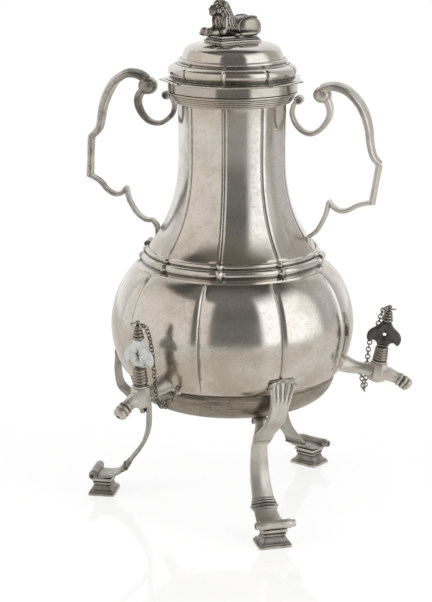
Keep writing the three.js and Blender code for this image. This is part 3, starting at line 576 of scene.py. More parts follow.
def belly_radius(z):
    """An oval on each side of the equator, a little pointed: a power of 2 would be an ellipse."""
    z = np.asarray(z, float)
    low = z < BELLY_EQUATOR
    edge = np.where(low, BELLY_FOOT_RADIUS, BELLY_MOUTH_RADIUS)
    power = np.where(low, 1.7, 1.85)
    reach = np.where(low, BELLY_EQUATOR - BELLY_BOTTOM, BELLY_TOP - BELLY_EQUATOR)
    share = np.minimum(abs(z - BELLY_EQUATOR) / reach, 1)
    return edge + (BELLY_RADIUS - edge) * (1 - share ** power) ** (1 / power)


def belly_push(t, r, z):
    """A narrow groove where two lobes meet, with each lobe a little rounder than the whole."""
    crease_width = 3.6
    fade = smoothstep(BELLY_TOP - 0.5, BELLY_TOP - 7, z) * smoothstep(BELLY_BOTTOM - 1, BELLY_BOTTOM + 8, z)
    share, distance = from_seam(t, BELLY_SEAM_TURN, r)
    groove = -BELLY_CREASE * np.clip(1 - distance / crease_width, 0, 1) ** 2
    return fade * (groove - BELLY_BULGE * (1 - np.sin(np.pi * share)) ** 1.5)


def belly():
    low = BELLY_EQUATOR - (BELLY_EQUATOR - BELLY_BOTTOM) * np.sin(np.radians(np.linspace(90, 0, 17)))
    high = BELLY_EQUATOR + (BELLY_TOP - BELLY_EQUATOR) * np.sin(np.radians(np.linspace(0, 90, 30)[1:]))
    z = np.concatenate([low, high])
    outer = np.stack([belly_radius(z), z], 1)
    inner = lining(outer)
    inner[0, 1], inner[-1, 1] = BELLY_TOP, BELLY_BOTTOM
    return lathe(np.vstack([outer, inner]), lobe_turns(BELLY_SEAM_TURN), belly_push)


def bottom_pan():
    rim = BELLY_FOOT_RADIUS - SHEET / 2
    s = np.radians(np.linspace(0, 90, 22))
    top = BELLY_BOTTOM - GAP
    side = np.stack([PAN_FLAT_RADIUS + (rim - PAN_FLAT_RADIUS) * np.sin(s) ** 0.9,
                     PAN_BOTTOM + 1.5 + (top - PAN_BOTTOM - 1.5) * (1 - np.cos(s))], 1)
    middle = over(0, PAN_BOTTOM, (0, 0), (26, 0.2), (PAN_FLAT_RADIUS - 8, 0.7))
    outer = np.vstack([middle, side[:-1], over(rim, top, (0.5, -1.4), (0.7, -0.7), (0.4, 0))])
    inner = lining(outer)
    inner[:, 0] = np.maximum(inner[:, 0], 0)
    inner[:, 1] = np.minimum(inner[:, 1] + SHEET, top)
    return lathe(np.vstack([outer, inner, [(0, PAN_BOTTOM + SHEET)]]), round_turns(144))


def neck_radius(z):
    z = np.asarray(z, float)
    rise = np.clip((z - NECK_WAIST) / (NECK_TOP - NECK_WAIST), 0, 1)
    drop = np.clip((NECK_WAIST - z) / (NECK_WAIST - NECK_FOOT), 0, 1)
    return NECK_RADIUS + 0.9 * rise ** 2 + (NECK_FOOT_RADIUS - NECK_RADIUS) * drop ** 2.6


def neck_push(t, r, z):
    """Panels flatter than the circle, with a soft-shouldered groove where two meet."""
    fade = smoothstep(NECK_TOP - 2, COLLAR_BOTTOM - 3, z) * smoothstep(NECK_FOOT - 4, NECK_FOOT + 5, z)
    share, distance = from_seam(t, NECK_SEAM_TURN, r)
    return fade * (-NECK_GROOVE * peak(distance, 1.25) + NECK_PANEL_RISE * (1 - 2 * share) ** 3 - 0.4)


def neck():
    z = np.concatenate([[BELLY_TOP + GAP], np.linspace(NECK_FOOT, NECK_TOP, 64)])
    outer = np.stack([neck_radius(z), z], 1)
    outer[0, 0] = NECK_FOOT_RADIUS
    inner = lining(outer)
    inner[-1, 1] = BELLY_TOP + GAP
    return lathe(np.vstack([outer, inner]), lobe_turns(NECK_SEAM_TURN), neck_push)


def shoulder_push(t, r, z):
    """A leaf-shaped cusp on both beads where two neck panels meet."""
    share, distance = from_seam(t, NECK_SEAM_TURN, r)
    leaf = 1.5 * peak(distance, 1.5) - peak(distance, 0.9, 3.1)
    beads = (r > NECK_FOOT_RADIUS + 0.9) * (z > BELLY_TOP - 1)
    return beads * leaf - 0.5 * np.sin(np.pi * share) ** 2 * beads


def shoulder_moulding():
    root = NECK_FOOT_RADIUS + GAP
    skirt = [(0, -1.6), (8.6, -3.6), (9.4, -3), (8.8, -1.8), (6.6, -0.9), (5.4, -0.3)]
    outline = [*over(root, BELLY_TOP, *skirt), *bead(root + 2.7, BELLY_TOP + 3.1, 3.4, -50, 100, 14),
               *bead(root + 0.9, NECK_FOOT - 2, 1.9, -60, 88, 10), (root, NECK_FOOT + 0.2)]
    return lathe(outline, lobe_turns(NECK_SEAM_TURN), shoulder_push)


# Each reed round the collar as (height over its foot, radius, thickness)
REEDS = ((0.9, 44.4, 1), (2.6, 46.2, 0.8), (4.2, 47.2, 0.75), (5.7, 47.9, 0.75))


def neck_collar():
    """A plain lip over four reeds that step in to the neck."""
    hole = neck_radius(NECK_TOP) + GAP
    outline = over(hole, COLLAR_BOTTOM, (0, -0.6), (1.2, -0.4))
    for up, r, size in REEDS:
        outline += bead(r, COLLAR_BOTTOM + up, size, -75, 75, 9)
    lip = [(-1.2, -1.9), (-0.2, -1.6), (0, -0.9), (-0.2, -0.2), (-1, 0)]
    outline += [*over(COLLAR_RADIUS, COLLAR_TOP, *lip), (hole, COLLAR_TOP)]
    return lathe(outline, round_turns(180))


# Lid

def lid_bezel():
    tongue = NECK_RADIUS - SHEET - 0.4
    outline = [*over(BAND_RADIUS, BAND_BOTTOM, (-0.3, 0), (0, 0.3), (-0.05, 3)),
               *over(BAND_RADIUS, BAND_TOP, (0, -0.3), (-0.3, 0)), (tongue - LID_SHEET, BAND_TOP),
               (tongue - LID_SHEET, BAND_BOTTOM - TONGUE_DEPTH), (tongue, BAND_BOTTOM - TONGUE_DEPTH),
               (tongue, BAND_TOP - LID_SHEET), (BAND_RADIUS - LID_SHEET, BAND_TOP - LID_SHEET),
               (BAND_RADIUS - LID_SHEET, BAND_BOTTOM)]
    return lathe(outline, round_turns(180))


def lid_push(t, r, z):
    """Pillowy panels with a crease at each seam, a leaf at the front one, and a nearly polygonal flange."""
    crease_width = 2.2
    share, distance = from_seam(t, NECK_SEAM_TURN, r)
    lobe = radians(LOBE)
    moulding = smoothstep(OGEE_TOP + 0.6, OGEE_TOP - 1, z)
    flange = smoothstep(DOME_BOTTOM + 2, DOME_BOTTOM + 1.5, z) * (r > FLANGE_RADIUS - 4.5)
    panel = 0.7 * (1 - 2 * share) ** 2 - 0.85 * (1 - smoothstep(0, crease_width, distance))
    aside = abs((t - LEAF_TURN + 180) % 360 - 180) * r * radians(1)
    leaf = 2.4 * peak(aside, 1.1)
    side = FLANGE_RADIUS * (cos(lobe / 2) / np.cos(lobe * (0.5 - share)) - 1)
    tip = 1.5 * np.exp(-distance / 1.6)
    return moulding * ((1 - flange) * (panel + leaf) + flange * (0.75 * side + tip))


# The dome's outside over the ring, as (radius, height)
LID_BOWL = [*over(0, OGEE_TOP, (39.2, 2.3), (38.9, 3.4), (38.4, 5.4), (37.5, 7.8)),
            *over(0, DOME_TOP, (36, -4.6), (33.2, -2.7), (28.8, -1.3), (22, -0.4), (13, 0), (STUD_HOLE, 0))]


def lid_dome():
    flange = over(FLANGE_RADIUS, DOME_BOTTOM, (-0.6, 0), (0.1, 0.25), (0.2, 0.8), (-0.5, 1.3))
    ogee = over(0, DOME_BOTTOM, (FLANGE_RADIUS - 1.6, 1.3), (50.2, 2), (47.7, 2.9), (47.6, 4.2),
                (48.9, 6), (49.2, 8.3), (48.2, 10.8), (45.6, 12.6), (43.4, 13.2), (42.3, 14))
    ring = bead(DOME_RADIUS + 1.6, OGEE_TOP + 0.9, 1.5, -70, 110, 9)
    inner = [*over(0, DOME_TOP, (STUD_HOLE, -1.7), (21, -2.4)),
             *over(DOME_RADIUS, DOME_TOP, (-10.5, -5), (-5.6, -8.4)),
             *over(DOME_RADIUS, OGEE_TOP, (-2, 4), (0, -1.4)),
             *over(0, DOME_BOTTOM, (44, 10.4), (45.4, 8), (45, 3), (44.6, 0))]
    outline = np.vstack([flange, catmull(ogee, 5), ring, catmull(LID_BOWL, 6), inner])
    return lathe(outline, lobe_turns(NECK_SEAM_TURN), lid_push)


# Lion: swellings as (forward, aside, up), (length, breadth, height). One that stands aside has a twin.
SWELLINGS = [
    ((-3, 0, 11), (17, 7.2, 7.4)),
    ((-11.4, 5.4, 10.8), (10.6, 4.6, 8)),
    ((-19.4, 3, 8.4), (3.6, 4.6, 4.4)),
    ((7.6, 0, 14), (8.6, 7.6, 9.4)),
    ((8.6, 0, 20.2), (7.2, 6.8, 7.6)),
    ((11.2, 0, 25), (5.8, 5.6, 5.7)),
    ((16.2, 0, 23.8), (4.6, 3.9, 3.9)),
    ((18.6, 0, 21.6), (2.6, 2.6, 2)),
    ((20, 0, 24.8), (1.9, 2.1, 1.5)),
    ((16.4, 0, 26.9), (4.2, 1.5, 1.6)),
    ((15.4, 3.2, 26.8), (1.9, 1.5, 1)),
    ((14.6, 4.6, 23.6), (2.2, 1.8, 2.6)),
    ((11.2, 7.4, 13.6), (2.6, 2, 6.4)),
    ((13.6, 7.4, 8.2), (3.4, 2.4, 2.8)),
    ((18.6, 5.4, 7.6), (6.4, 2.6, 2.8)),
    ((23.4, 3.2, 8), (3.6, 3.4, 3.6)),
    ((25.8, 4.8, 6.6), (1.6, 1, 1.5)),
    ((26.4, 2.8, 6.6), (1.6, 1, 1.5)),
    ((-8, 8.8, 5.8), (9.4, 2.2, 1.9)),
    ((2.4, 9.8, 5.6), (3.2, 1.8, 1.4)),
]
# The mane's surface as rings from the crown down to the chest: (forward, radius, up, half the angle
# left open for the face). The angle is in tens of degrees, so that it counts little in their spacing.
MANE_RINGS = [(11.6, 1.6, 30.9, 4), (11.4, 4.4, 29.7, 5.2), (10.9, 6, 27.2, 6), (10.3, 6.7, 24.2, 6),
              (9.4, 7.4, 20.6, 5.2), (8.4, 8.2, 16.6, 2.2), (7.8, 8.5, 13.2, 0.8), (7.6, 8.3, 10.6, 0.8)]
LOCK_ROWS_APART = 2.15
LOCKS_APART = 2.5
LOCK_SIZE = (1.15, 2.1, 0.95)
LOCK_SWAY = 0.3
# The plinth's steps as (narrowing, bottom, top), from the lowest
PLINTH_LENGTH = 37
PLINTH_WIDTH = 24
PLINTH_STEPS = ((0, -2, 1.3), (2.2, 1, 2.6), (4.4, 1, 4.6))


def block(length, width, low, high):
    x, y = length / 2, width / 2
    ring = [(-x, -y), (x, -y), (x, y), (-x, y)]
    points = [(a, b, low) for a, b in ring] + [(a, b, high) for a, b in ring]
    sides = [(i, (i + 1) % 4, 4 + (i + 1) % 4, 4 + i) for i in range(4)]
    return np.array(points, float), [(3, 2, 1, 0), (4, 5, 6, 7), *sides]


def mane():
    """Rows of short overlapping locks that lie flat on the head, neck and chest."""
    rings = spaced(catmull(MANE_RINGS, 8), LOCK_ROWS_APART)
    slopes = np.gradient(rings[:, :3], axis=0)
    locks = []
    for row, ((x, radius, up, opening), (dx, dr, dz)) in enumerate(zip(rings, slopes)):
        opening *= 10
        count = max(4, int(round((360 - 2 * opening) / 360 * 2 * pi * radius / LOCKS_APART)))
        for k in range(count):
            a = radians(opening + (360 - 2 * opening) * (k + 0.25 + 0.5 * (row % 2)) / count)
            down = unit(np.array([dx + dr * cos(a), dr * sin(a), dz]))
            aside = np.array([-sin(a), cos(a), 0]) * cos(LOCK_SWAY)
            aside = unit(aside + down * sin(LOCK_SWAY) * sin(k * 1.7 + row))
            at = [x + radius * cos(a), radius * sin(a), up]
            lock = ball(1, stretch=LOCK_SIZE, steps=12)
            locks.append(placed(lock, framed(aside, down, np.cross(aside, down), at)))
    return locks


def lion():
    shells = []
    for (x, y, z), size in SWELLINGS:
        for side in ((1, -1) if y else (1,)):
            shells.append(ball(1, (x, y * side, z), size, 24))
    shells = [melted(together(*shells), 0.5, 9)]
    for side in (1, -1):
        ear = ball(1, (10.6, 6.3 * side, 27.6), (2, 1.5, 2.3), 14)
        shells.append(ear)
        for k in range(6):
            rib = ball(1, stretch=(0.4, 0.6, 3.6), steps=10)
            shells.append(placed(rib, shift(-1.2 + 1.5 * k, 6.6 * side, 12) @ rotation("y", 18)))
        for a in np.radians(np.linspace(-80, 120, 70)):
            haunch_edge = (-11.8 + 10.9 * cos(a), 6.6 * side, 10.8 + 8.0 * sin(a))
            shells.append(ball(0.7, haunch_edge))
    for less, low, high in PLINTH_STEPS:
        shells.append(block(PLINTH_LENGTH - less, PLINTH_WIDTH - less, low, high))
    matrix = station(LION_TURN) @ shift(0, 0, PLINTH_BOTTOM)
    points, faces = melted(placed(together(*shells, *mane()), matrix), 0.32, 4)
    radius = np.hypot(points[:, 0], points[:, 1])
    dome = np.interp(-radius, [-r for r, z in LID_BOWL], [z for r, z in LID_BOWL])
    points[:, 2] = np.maximum(points[:, 2], dome + GAP)
    return points, faces


# Handles

# Half of a strap's section, as shares of its half width and half thickness
CROWNED = [(0.9, -1), (1, -0.72), (1, -0.1), (0.92, 0.2), (0.62, 0.5), (0.22, 0.95)]


def crowned(width, thickness):
    """A strap's section: flat inside, with a low ridge outside and softened edges."""
    ring = [(-0.9, -1), (0, -1), *CROWNED, (0, 1), *[(-x, y) for x, y in CROWNED[:0:-1]]]
    return [(width / 2 * x, thickness / 2 * y) for x, y in ring]


def roll(r, z, radius, length):
    """A short drum across the strap, with dished ends."""
    dish = 0.5
    end = length / 2
    half = [(0.1, end - dish), (radius * 0.55, end - dish * 0.8), (radius * 0.75, end),
            (radius * 0.92, end - 0.15), (radius, end - 0.7), (radius * 0.93, length / 4)]
    return crosswise([(a, -b) for a, b in half] + [(radius * 0.9, 0)] + half[::-1], 24, r, z)


def bud(r, z, radius, length):
    """The sweep's rolled-over end: a drum with domed ends."""
    a = np.radians(np.linspace(-89, 89, 19))
    return crosswise([(radius * cos(t) ** 0.6, length / 2 * sin(t)) for t in a], 28, r, z, 0.9)


# The handles' routes as (r, z): the two were bent by hand and differ. Each part runs from the lid down.
HANDLE_ROUTES = {
    "right": {
        "hook": [(51.4, 328.4), (48.2, 324.2), (46.8, 317.5), (49.6, 309.9), (55.3, 304.2), (62.4, 302.5),
                 (69.3, 306.6), (74.6, 314.6), (75.4, 321.6), (73.4, 327.4), (69.8, 332)],
        "sweep": [(69.4, 337), (73.5, 338.6), (80, 339.4), (89.8, 336), (98.3, 327.6), (103.3, 318.6),
                  (106.3, 308), (107.8, 296), (110.3, 286.6), (115.2, 280.6)],
        "grip": [(114.6, 280), (109.6, 249.4)],
        "scroll": [(109, 250.2), (106.2, 249.8), (98.5, 247.7), (91.5, 243.8), (85.9, 242.6), (80.2, 244.9),
                   (75.6, 250.4)],
        "drop": [(76.4, 250.2), (74.4, 241), (70.1, 231.4), (66.2, 225.6), (61, 221.6)],
        "foot": [(60.6, 222.4), (61.6, 216.4), (64.6, 211), (67.8, 207.6)],
        "rolls": [(51.8, 328, 3.4, 9), (70.4, 206.4, 3, 12)],
        "bud": (69.8, 332.4, 7.2, 15),
    },
    "left": {
        "hook": [(52.6, 329.4), (48, 325.4), (46.4, 319.5), (48.9, 312.6), (56.4, 307), (65.1, 307.8),
                 (71.6, 314), (74.6, 321.8), (73.6, 328), (69.4, 333.6)],
        "sweep": [(67.8, 340.6), (72, 343.6), (78, 345.2), (84.6, 344.4), (94.1, 338.2), (100.1, 328.8),
                  (104, 318.7), (105.8, 308.6), (108, 300.2), (114.6, 293)],
        "grip": [(114.2, 292.4), (115.6, 262.2)],
        "scroll": [(116, 263.2), (107.2, 258.2), (101.4, 251.8), (94.7, 248.4), (88.7, 250.1),
                   (85.2, 254.6)],
        "drop": [(86, 254.4), (83.6, 244.6), (77.7, 234.6), (70.9, 229.2), (64.4, 228.6)],
        "foot": [(65.2, 229.2), (61.4, 224.6), (60.6, 218.6), (62.2, 214), (65, 211.6)],
        "rolls": [(52.2, 328.8, 3.4, 9), (67.4, 210.8, 3, 12)],
        "bud": (67.2, 335.4, 7.6, 15),
    },
}
# Each part's widths and thicknesses at its start, middle and end
HANDLE_PARTS = {
    "hook": ((8, 9, 13), (3.2, 3.6, 6)),
    "sweep": ((14, 17, 9.8), (6.6, 6.2, 4.8)),
    "grip": ((9.8, 9, 9.6), (5, 4.6, 5)),
    "scroll": ((9, 8, 8), (3.4, 3.4, 3.4)),
    "drop": ((8.4, 8, 8), (3.6, 3.4, 3.2)),
    "foot": ((8, 14, 12), (3, 2.6, 2.8)),
}


def handle(turn, routes):
    def part(route, wide, thick):
        route = spaced(catmull(route, 8), 1.2) if len(route) > 2 else spaced(route, 2)
        return strap(route, lambda s: crowned(*(np.interp(s, [0, 0.5, 1], sizes) for sizes in (wide, thick))))

    parts = [part(routes[name], *sizes) for name, sizes in HANDLE_PARTS.items()]
    parts += [roll(*size) for size in routes["rolls"]] + [bud(*routes["bud"])]
    return placed(together(*parts), station(turn))


# Legs

def swung(mesh, swing, start, end):
    """Bends the leg sideways, more and more from start down to end."""
    points = mesh[0].copy()
    angle = np.radians(swing * np.clip((start - points[:, 2]) / (start - end), 0, 1))
    x, y = points[:, 0].copy(), points[:, 1].copy()
    points[:, 0] = x * np.cos(angle) - y * np.sin(angle)
    points[:, 1] = x * np.sin(angle) + y * np.cos(angle)
    return points, mesh[1]


def twisted(mesh, twist, reach):
    """Turns the leg's lower end about its middle, as the foot under it turns, and moves it outwards."""
    points = mesh[0].copy()
    share = smoothstep(LEG_JOINT - 4, FOOT_HEIGHT + 4, points[:, 2])
    angle = np.radians(twist * share)
    points[:, 0] += points[:, 1] * -np.sin(angle) + reach * share
    points[:, 1] *= np.cos(angle)
    return points, mesh[1]


# Widths down the strap and down the lower leg, at shares of their length
STRAP_WIDTHS = ([0, 0.03, 0.06, 0.16, 0.3, 0.6, 0.93, 1], [22, 23.6, 21.6, 18, 15.4, 14.4, 14.8, 12])
SCROLL_WIDTHS = ([0, 0.1, 0.35, 0.62, 0.685, 0.70, 0.735, 0.755, 0.775, 0.795, 0.86, 0.93, 1],
                 [10, 11.4, 13.8, 16.4, 17.2, 18.4, 20, 22.6, 19.4, 18, 19.4, 22, 25])
# Ridges across the lower leg as (share of its length, height)
RIDGES = ((0.698, 1), (0.718, 1.2), (0.746, 3), (0.772, 1.2))


def palmette_section(share):
    """Five flutes under an arched rim, which run out on the plain strap below."""
    flutes = 5
    width = np.interp(share, *STRAP_WIDTHS)
    depth = smoothstep(0.035, 0.07, share) * (1 - smoothstep(0.12, 0.32, share))
    rim = 0.9 * (1 - smoothstep(0.02, 0.045, share)) + 0.5 * exp(-((share - 0.965) / 0.014) ** 2)
    root = 0.7 + smoothstep(0, 0.1, share)
    half = root + rim * 0.7
    outer = []
    for a in np.linspace(-0.5, 0.5, 51):
        ripple = abs(cos(flutes * pi * a))
        edge = 1 - smoothstep(0.42, 0.5, abs(a)) * 0.5
        outer.append((a * width, half * edge - depth * (1 - ripple) ** 1.2))
    return [(width / 2, -root), (0, -root), (-width / 2, -root), *outer][::-1]


def leg_strap():
    """The strap, with the palmette's scalloped top pushed into the crease of the belly."""
    root = float(belly_radius(PALMETTE_TOP))
    route = catmull([*over(root, PALMETTE_TOP, (1.9, 2.4), (1.6, -1.6)),
                     *over(BELLY_FOOT_RADIUS, BELLY_BOTTOM, (9.6, -4), (8, -18), (2.4, -25)),
                     *over(LEG_WAIST, LEG_JOINT, (7.6, 14), (4, 8.6), (3.2, 5))], 10)
    points, faces = strap(spaced(route, 0.8), palmette_section)
    across = points[:, 1]
    points[:, 0] -= smoothstep(PALMETTE_TOP - 12, PALMETTE_TOP, points[:, 2]) * 2.4 * peak(across, 5.5)
    arch = smoothstep(PALMETTE_TOP - 5, PALMETTE_TOP, points[:, 2])
    points[:, 2] += arch * (2.4 * (1 - (across / 11) ** 2) + 0.8 * abs(np.cos(across * pi / 4.6)))
    return points, faces


def scroll_section(share):
    thick = 3.5 - 0.4 * smoothstep(0.76, 0.9, share)
    thick += sum(size * exp(-((share - ridge) / 0.0065) ** 2) for ridge, size in RIDGES)
    return crowned(np.interp(share, *SCROLL_WIDTHS), thick)


def leg_scroll():
    route = catmull([*over(LEG_WAIST, PAN_BOTTOM, (-9, 1), (-3, 1.2), (-0.4, -3.6)),
                     *over(LEG_WAIST, LEG_JOINT, (-0.4, 8), (-0.2, -6)),
                     *over(LEG_WAIST, FOOT_HEIGHT, (1.2, 37), (4.6, 28), (10.4, 19.6), (18, 9.2), (26, 3.6)),
                     *over(FOOT_RADIUS, FOOT_HEIGHT, (-1.4, 2.2), (4, 2.2))], 9)
    head = roll(LEG_WAIST - 9, PAN_BOTTOM - 1, 2.8, 11)
    volute = (FOOT_RADIUS + 6.4, FOOT_HEIGHT + 3.9)
    points, faces = together(strap(spaced(route, 0.36), scroll_section), head, roll(*volute, 3.7, 25),
                             roll(*volute, 2.9, 31.5))
    points[:, 2] = np.maximum(points[:, 2], FOOT_HEIGHT + GAP)
    return points, faces


# The foot's levels as (width across the leg, height)
FOOT_LEVELS = [(0, 0), (26, 0), (26, 1.6), (25.6, 1.9), (23.6, 2), (23.4, 3.4), (21.4, 3.6), (18.6, 5),
               (16.6, 7), (16, 8.4), (16.4, 9), (18, 9.1), (18.2, 10.2), (16.8, 10.4), (18.4, 11.6),
               (20, 12), (20.2, 13.4), (19.8, FOOT_HEIGHT), (0, FOOT_HEIGHT)]
FOOT_DEPTH = 0.84
FOOT_CORNER = 0.02


def square_ring(size, z, count=8):
    """A block's outline with eased corners. It is less deep, along the leg, than it is wide."""
    half = size / 2
    ring = []
    for side in range(4):
        a = radians(90 * side)
        for k in range(count):
            ease = FOOT_CORNER * size if k == 0 else 0
            x, y = half - ease, (-1 + 2 * k / count) * half + ease
            ring.append((FOOT_DEPTH * (x * cos(a) - y * sin(a)), x * sin(a) + y * cos(a), z))
    return ring


def foot():
    rings = [square_ring(max(size, 0.01), z) for size, z in FOOT_LEVELS]
    return placed(grid(np.array(rings)), shift(FOOT_RADIUS, 0, 0))


# Taps. In a tap's own frame +X runs outward along the spout and +Z up the key.

HALF = 7
BLOCK_LOW = -8.2
BLOCK_TOP = 7.6
SEAT_TOP = 9.1
PLUG_SHOULDER = SEAT_TOP + GAP
PLUG_NECK_END = PLUG_SHOULDER + 11.6
GRIP_LOW = PLUG_NECK_END + GAP
GRIP_HEIGHT = 19.8
GRIP_HOLE = GRIP_LOW + 9.4
GRIP_HOLE_RADIUS = 1.4
FINIAL_LOW = GRIP_LOW + GRIP_HEIGHT + GAP
FINIAL_NECK = FINIAL_LOW + 10.0
ROOT = TAP_REACH - float(belly_radius(TAP_HEIGHT + 5))
SPOUT_END = HALF + 21.5
SPOUT_BEND = 33
SPOUT_RADIUS = 4.6
SPOUT_RING = 5.4
# The octagonal valve block's levels as (share of its width, height)
BLOCK_LEVELS = [(0, BLOCK_LOW), (0.62, BLOCK_LOW), (0.86, BLOCK_LOW + 1.2), (1, BLOCK_LOW + 3.2),
                (1, BLOCK_TOP - 2.2), (0.9, BLOCK_TOP - 0.4), (0.8, BLOCK_TOP), (0, BLOCK_TOP)]


def tap_frame(turn, lean, rise):
    return station(turn) @ shift(TAP_REACH, 0, TAP_HEIGHT + rise) @ rotation("y", lean)


def facets(points, first, last, count=8):
    """Flattens a round bar along local +X into that many facets between two places."""
    x, y, z = points.T
    step = 2 * pi / count
    angle = (np.arctan2(z, y) + step / 2) % step - step / 2
    flat = cos(step / 2) / np.cos(angle) * 1.05
    share = smoothstep(first, first + 3, x) * smoothstep(last, last - 3, x)
    return np.stack([x, y * (1 + share * (flat - 1)), z * (1 + share * (flat - 1))], 1)


def bent_down(points, length, degrees):
    """Curves a bar along local +X downwards, straight at its start and by that angle at its end."""
    x, y, z = points.T
    line = np.linspace(0, length * 1.2, 200)
    angle = np.radians(degrees) * line / length
    out = np.concatenate([[0], np.cumsum(np.cos(angle[:-1]) * np.diff(line))])
    down = np.concatenate([[0], np.cumsum(np.sin(angle[:-1]) * np.diff(line))])
    here = np.radians(degrees) * np.maximum(x, 0) / length
    return np.stack([np.interp(x, line, out) + np.minimum(x, 0) + z * np.sin(here), y,
                     z * np.cos(here) - np.interp(x, line, down)], 1)


def tap_barrel():
    """The barrel from the belly to the valve, which flares less below, where the belly turns in."""
    points, faces = turned_along([
        *over(-ROOT, 0, (-2.4, 11.4), (-0.6, 9.6), (1.6, 8), (4.4, 6.6), (7.6, 5.6), (11, 5), (14, 4.7)),
        (-HALF - 2, 4.9), (-HALF + 1, 5.4), (0, 5.6)], 32)
    below = (points[:, 2] < 0) * smoothstep(-ROOT + 8, -ROOT - 1, points[:, 0])
    points[:, 2] *= 1 - 0.42 * below
    points[:, 0] += below * points[:, 2]
    return points, faces


def tap_body():
    eight = np.radians(22.5 + round_turns(8))
    corner = HALF / cos(radians(22.5))
    rings = [[(corner * s * cos(a), corner * s * sin(a), z) for a in eight] for s, z in BLOCK_LEVELS]
    valve = grid(np.array(rings))
    rim = [(5.9, -1.6), (6.4, -1.2), (6.4, -0.3), (6, 0), (5.1, 0), (5.1, -2)]
    socket = upright([(5.9, 0), *over(0, SEAT_TOP, *rim)], 32)
    throat, ring = SPOUT_RADIUS, SPOUT_RING
    points, faces = turned_along([
        (0, 5.6), (HALF + 2, 5.4), (HALF + 5, 4.8),
        *over(SPOUT_END, 0, (-12.4, throat), (-11.4, throat), (-10.9, ring - 0.1), (-10, ring + 0.1),
              (-9.1, ring - 0.1), (-8.6, throat), (-7.6, throat), (-7.1, ring), (-6.1, ring + 0.3),
              (-5.1, ring), (-4.6, throat + 0.2), (-4, throat + 0.4), (-3.2, ring), (-2, ring - 0.2),
              (-0.9, ring - 1.1), (-0.2, ring - 2.2), (0.2, 1.6), (0, 1), (-1.5, 0.8))], 48)
    spout = bent_down(facets(points, -2, SPOUT_END - 11.6), SPOUT_END, SPOUT_BEND), faces
    return together(tap_barrel(), valve, socket, spout)


def key_plug():
    """The taper in its seat, and a neck of five rings over it."""
    outline = [(3.9, BLOCK_LOW + 3), (4.9, SEAT_TOP), (4.9, PLUG_SHOULDER)]
    for z in np.linspace(PLUG_SHOULDER + 1.5, PLUG_NECK_END - 1.6, 5):
        share = (z - PLUG_SHOULDER) / (PLUG_NECK_END - PLUG_SHOULDER)
        outline += bead(4.9 - 0.9 * share, z, 1.2, -70, 70, 7)
    return upright([*outline, (4, PLUG_NECK_END - 0.3), (3.6, PLUG_NECK_END)], 32)


# Depths of the grip's face, as (share of the way from the hole to the rim, depth)
GRIP_FACE = [(0, 0.6), (0.02, 1.1), (0.1, 1.35), (0.25, 1.3), (0.5, 1.6), (0.72, 1.75), (0.88, 1.45),
             (0.96, 1), (1, 0.3)]


def grip_outline():
    """Half the bat-winged plate's outline, from its foot to its top, as (aside, up)."""
    lower = [(4.4, GRIP_LOW), *over(0, GRIP_HOLE, (5, -7.6), (6.4, -6.4), (8.7, -5.8), (11.6, -7.8))]
    wing = [(11.6, -7.8), (13.2, -5.4), (13.5, -1.6), (11.8, 2.2), (8.2, 5.2), (5.6, 7.4)]
    upper = [*over(0, GRIP_HOLE, *wing), (3.6, GRIP_LOW + GRIP_HEIGHT)]
    return np.vstack([catmull(lower, 5)[:-1], catmull(upper, 5)])


def key_grip():
    """A pierced plate in the local XZ plane, swollen in the middle of each wing and rounded at its rim."""
    right = grip_outline()
    rim = np.vstack([right, right[::-1] * np.array([-1, 1])])
    centre = np.array([0, GRIP_HOLE])
    angle = np.arctan2(rim[:, 1] - centre[1], rim[:, 0])
    inner = centre + GRIP_HOLE_RADIUS * np.stack([np.cos(angle), np.sin(angle)], 1)
    rings = []
    for share, depth in GRIP_FACE + [(share, -depth) for share, depth in GRIP_FACE[::-1]]:
        line = inner + (rim - inner) * share
        rings.append(np.stack([line[:, 0], np.full(len(line), depth), line[:, 1]], 1))
    return grid(np.array(rings), close_rows=True)


def key_finial():
    """A cone of four rings with a knob over its neck."""
    outline = [(3.6, FINIAL_LOW)]
    for z, r in ((1.3, 4), (3.6, 3.6), (5.8, 3), (7.8, 2.3)):
        outline += bead(r - 0.4, FINIAL_LOW + z, 1.05, -70, 70, 7)
    outline += over(0, FINIAL_NECK, (1.2, -0.8), (1.15, 0.8))
    outline += bead(0.7, FINIAL_NECK + 2.2, 1.3, -60, 90, 8)
    return upright([*outline, (0.3, FINIAL_NECK + 3.6)], 24)


# Chains

WIRE = 0.5
LINK_RADIUS = 1.75
LINK_STRETCH = 0.5
EYE_HEIGHT = 116
EYE_TURN = 8
EYE_REACH = float(belly_radius(EYE_HEIGHT)) + 3.2
EYE_ANGLE = radians(EYE_TURN)
EYE = np.array([EYE_REACH * cos(EYE_ANGLE), EYE_REACH * sin(EYE_ANGLE), EYE_HEIGHT])
DIAGONAL = np.array([0.70710678, 0.70710678, 0])
# Where each chain leaves its key, as (aside, up) from the finial's neck
CHAIN_START = ((3.1, -0.5), (4.8, -3.6), (6.6, -16))
# Where each chain hangs after that, as (x, y, z) from the tap's axis, with z over the table
CHAIN_HANGS = {
    "front": [(-5.6, 8.8, 134), (-6.4, 9.2, 122), (-8, 9.8, 112), (-12, 10.4, 107.6), (-15.5, 11.6, 110.5),
              (-13, 13, 114), (-10, 12.4, 111), (-13.5, 11, 106.6), (-18, 11.6, 109)],
    "right": [(-6.8, 8.4, 134), (-8.4, 8.8, 120), (-9.4, 9.2, 106), (-10, 9.6, 96), (-10.8, 10.4, 93),
              (-11.6, 11, 97), (-13.4, 11.8, 106), (-19, 12, 112)],
}
CHAIN_HANGS["back"] = CHAIN_HANGS["right"]


